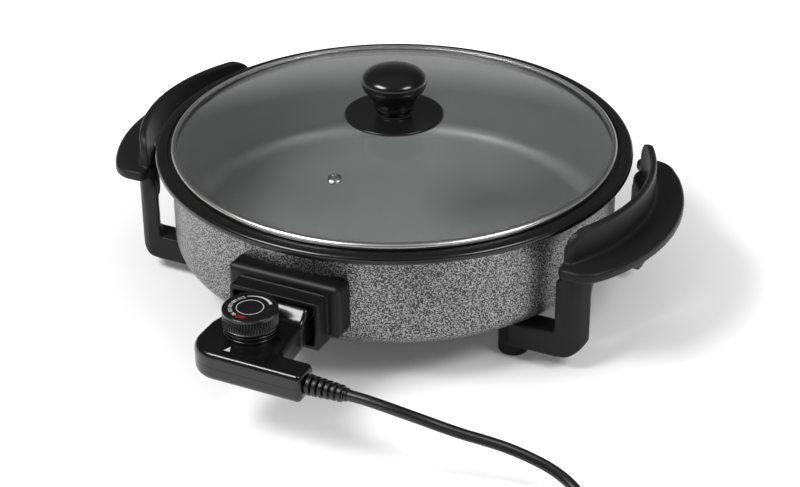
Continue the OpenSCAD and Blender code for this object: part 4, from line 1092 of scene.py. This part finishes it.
def addScale(d):
    face, radius = d["high"] - d["face"], d["numberRadius"]
    for i, number in enumerate(d["numbers"]):
        angle = d["firstAngle"] + d["stepAngle"] * i
        dialText(f"dialNumber{i}", number, d["numberSize"], radius, angle, face, "white")
    dialText("dialOff", "OFF", d["offSize"], radius, d["offAngle"], face, "red")
    a0, a1, middle = d["wedge"]
    wedge = ringSection(a0, a1, lambda t: middle - 0.3 - 0.9 * t, lambda t: middle + 0.3 + 0.9 * t)
    flatPrint("dialWedge", [wedge], face, "dial", "white", "dial_plastic", spindleSpot)
    inner, outer = d["ring"]
    ring = [ringSection(a, a + 90, lambda t: inner, lambda t: outer, 24) for a in (0, 90, 180, 270)]
    flatPrint("dialRing", ring, face, "dial", "white", "dial_plastic", spindleSpot)


addDial(dial)
addScale(dial)
print("thermostat made")

# remaining solids keep their shape and take a finish
plainNodes = {
    "heating_element": "sheath", "terminal_insulators": "ceramic", "terminal_pins": "bright",
    "terminal_plate": "plain", "earth_pin": "brass", "plate_screws": "plain", "handle_screws": "plain",
    "knob_screw": "plain", "knob_washer": "washer", "thermostat_screws": "plain",
    "thermostat_probe": "bright", "contact_tubes": "brass", "earth_contact": "brass",
    "switch_base": "phenolic", "bimetal_strip": "bimetal", "contact_blade": "brass",
    "dial_spindle": "plain", "plug_pins": "bright",
}
for node, finish in plainNodes.items():
    mesh = cadNodes[node].data
    mesh.materials.clear()
    mesh.materials.append(finishes[finish])

# stage and light
# painted light on the floor: glow level near the pan, glow level further out, and the radius span between
# them
stage = {"size": 12.0, "drop": -0.1, "tone": 0.8, "lift": 0.05, "paintedLightFar": 0.8, "fade": (0.1, 0.62)}


def addFloor(s):
    f = Finish("floorWhite", specularIORLevel=0.15)
    cloud = f.noise(1.5, 2.0)
    f.put("baseColor", f.mix(cloud, grey(s["tone"]), grey(s["tone"] + 0.015)))
    f.put("roughness", 0.7 + cloud * 0.1)
    # painted light: the floor glows for camera, glossy and transmission rays, faintly near the pan and
    # strongly further out
    seen = [f.add("LightPath", out=ray) for ray in ("Is Camera Ray", "Is Glossy Ray", "Is Transmission Ray")]
    radius = f.fromAxis()[0]
    paintedFloorLight = f.mix(radius.between(*s["fade"]), grey(s["lift"]), grey(s["paintedLightFar"]))  # painted light: the floor glows whiter away from the pan, washing out its cast shadows there
    f.put("emissionColor", f.mix((seen[0] + seen[1] + seen[2]).atMost(1.0), grey(0.0), paintedFloorLight))
    f.put("emissionStrength", 1.0)
    half = s["size"] / 2 / mm
    corners = [(x, y, s["drop"]) for x, y in ((-half, -half), (half, -half), (half, half), (-half, half))]
    mesh = makeMesh("studioFloor", corners, [(0, 1, 2, 3)])
    mesh.materials.append(f.material)
    obj = bpy.data.objects.new("studioFloor", mesh)
    scene.collection.objects.link(obj)


addFloor(stage)

lamps = {
    "keyLamp": {"place": (-0.82, -1.15, 1.75), "aim": (0, -0.1, 0.08), "size": (1.0, 0.62), "power": 46},
    "rightLamp": {"place": (1.55, -0.3, 1.65), "aim": (0, 0, 0.1), "size": (0.8, 0.65), "power": 24},
}


def addLamp(name, setup):
    data = bpy.data.lights.new(name, "AREA")
    data.shape = "RECTANGLE"
    data.size, data.size_y = setup["size"]
    data.energy = setup["power"]
    obj = bpy.data.objects.new(name, data)
    scene.collection.objects.link(obj)
    obj.location = setup["place"]
    aim = Vector(setup["aim"]) - Vector(setup["place"])
    obj.rotation_mode = "QUATERNION"
    obj.rotation_quaternion = aim.to_track_quat("-Z", "Y")


for name, setup in lamps.items():
    addLamp(name, setup)

# sky levels by height, from the horizon to straight up
skyLevels = [(0.0, 0.5), (0.14, 0.42), (0.3, 0.07), (0.5, 0.09), (0.66, 0.05), (0.86, 0.22), (1.0, 0.25)]


class Sky(Finish):
    def __init__(self, name):
        self.world = bpy.data.worlds.new(name)
        self.start(self.world, "OutputWorld", "Background")


def addSky(levels):
    sky = Sky("studioSky")
    height = sky.split(sky.add("TexCoord", out="Generated"))[2]
    stops = [(place, grey(level)) for place, level in levels]
    sky.put("color", sky.add("ValToRGB", {"stops": stops}, {"Fac": height}))
    scene.world = sky.world


addSky(skyLevels)
print("stage lit")
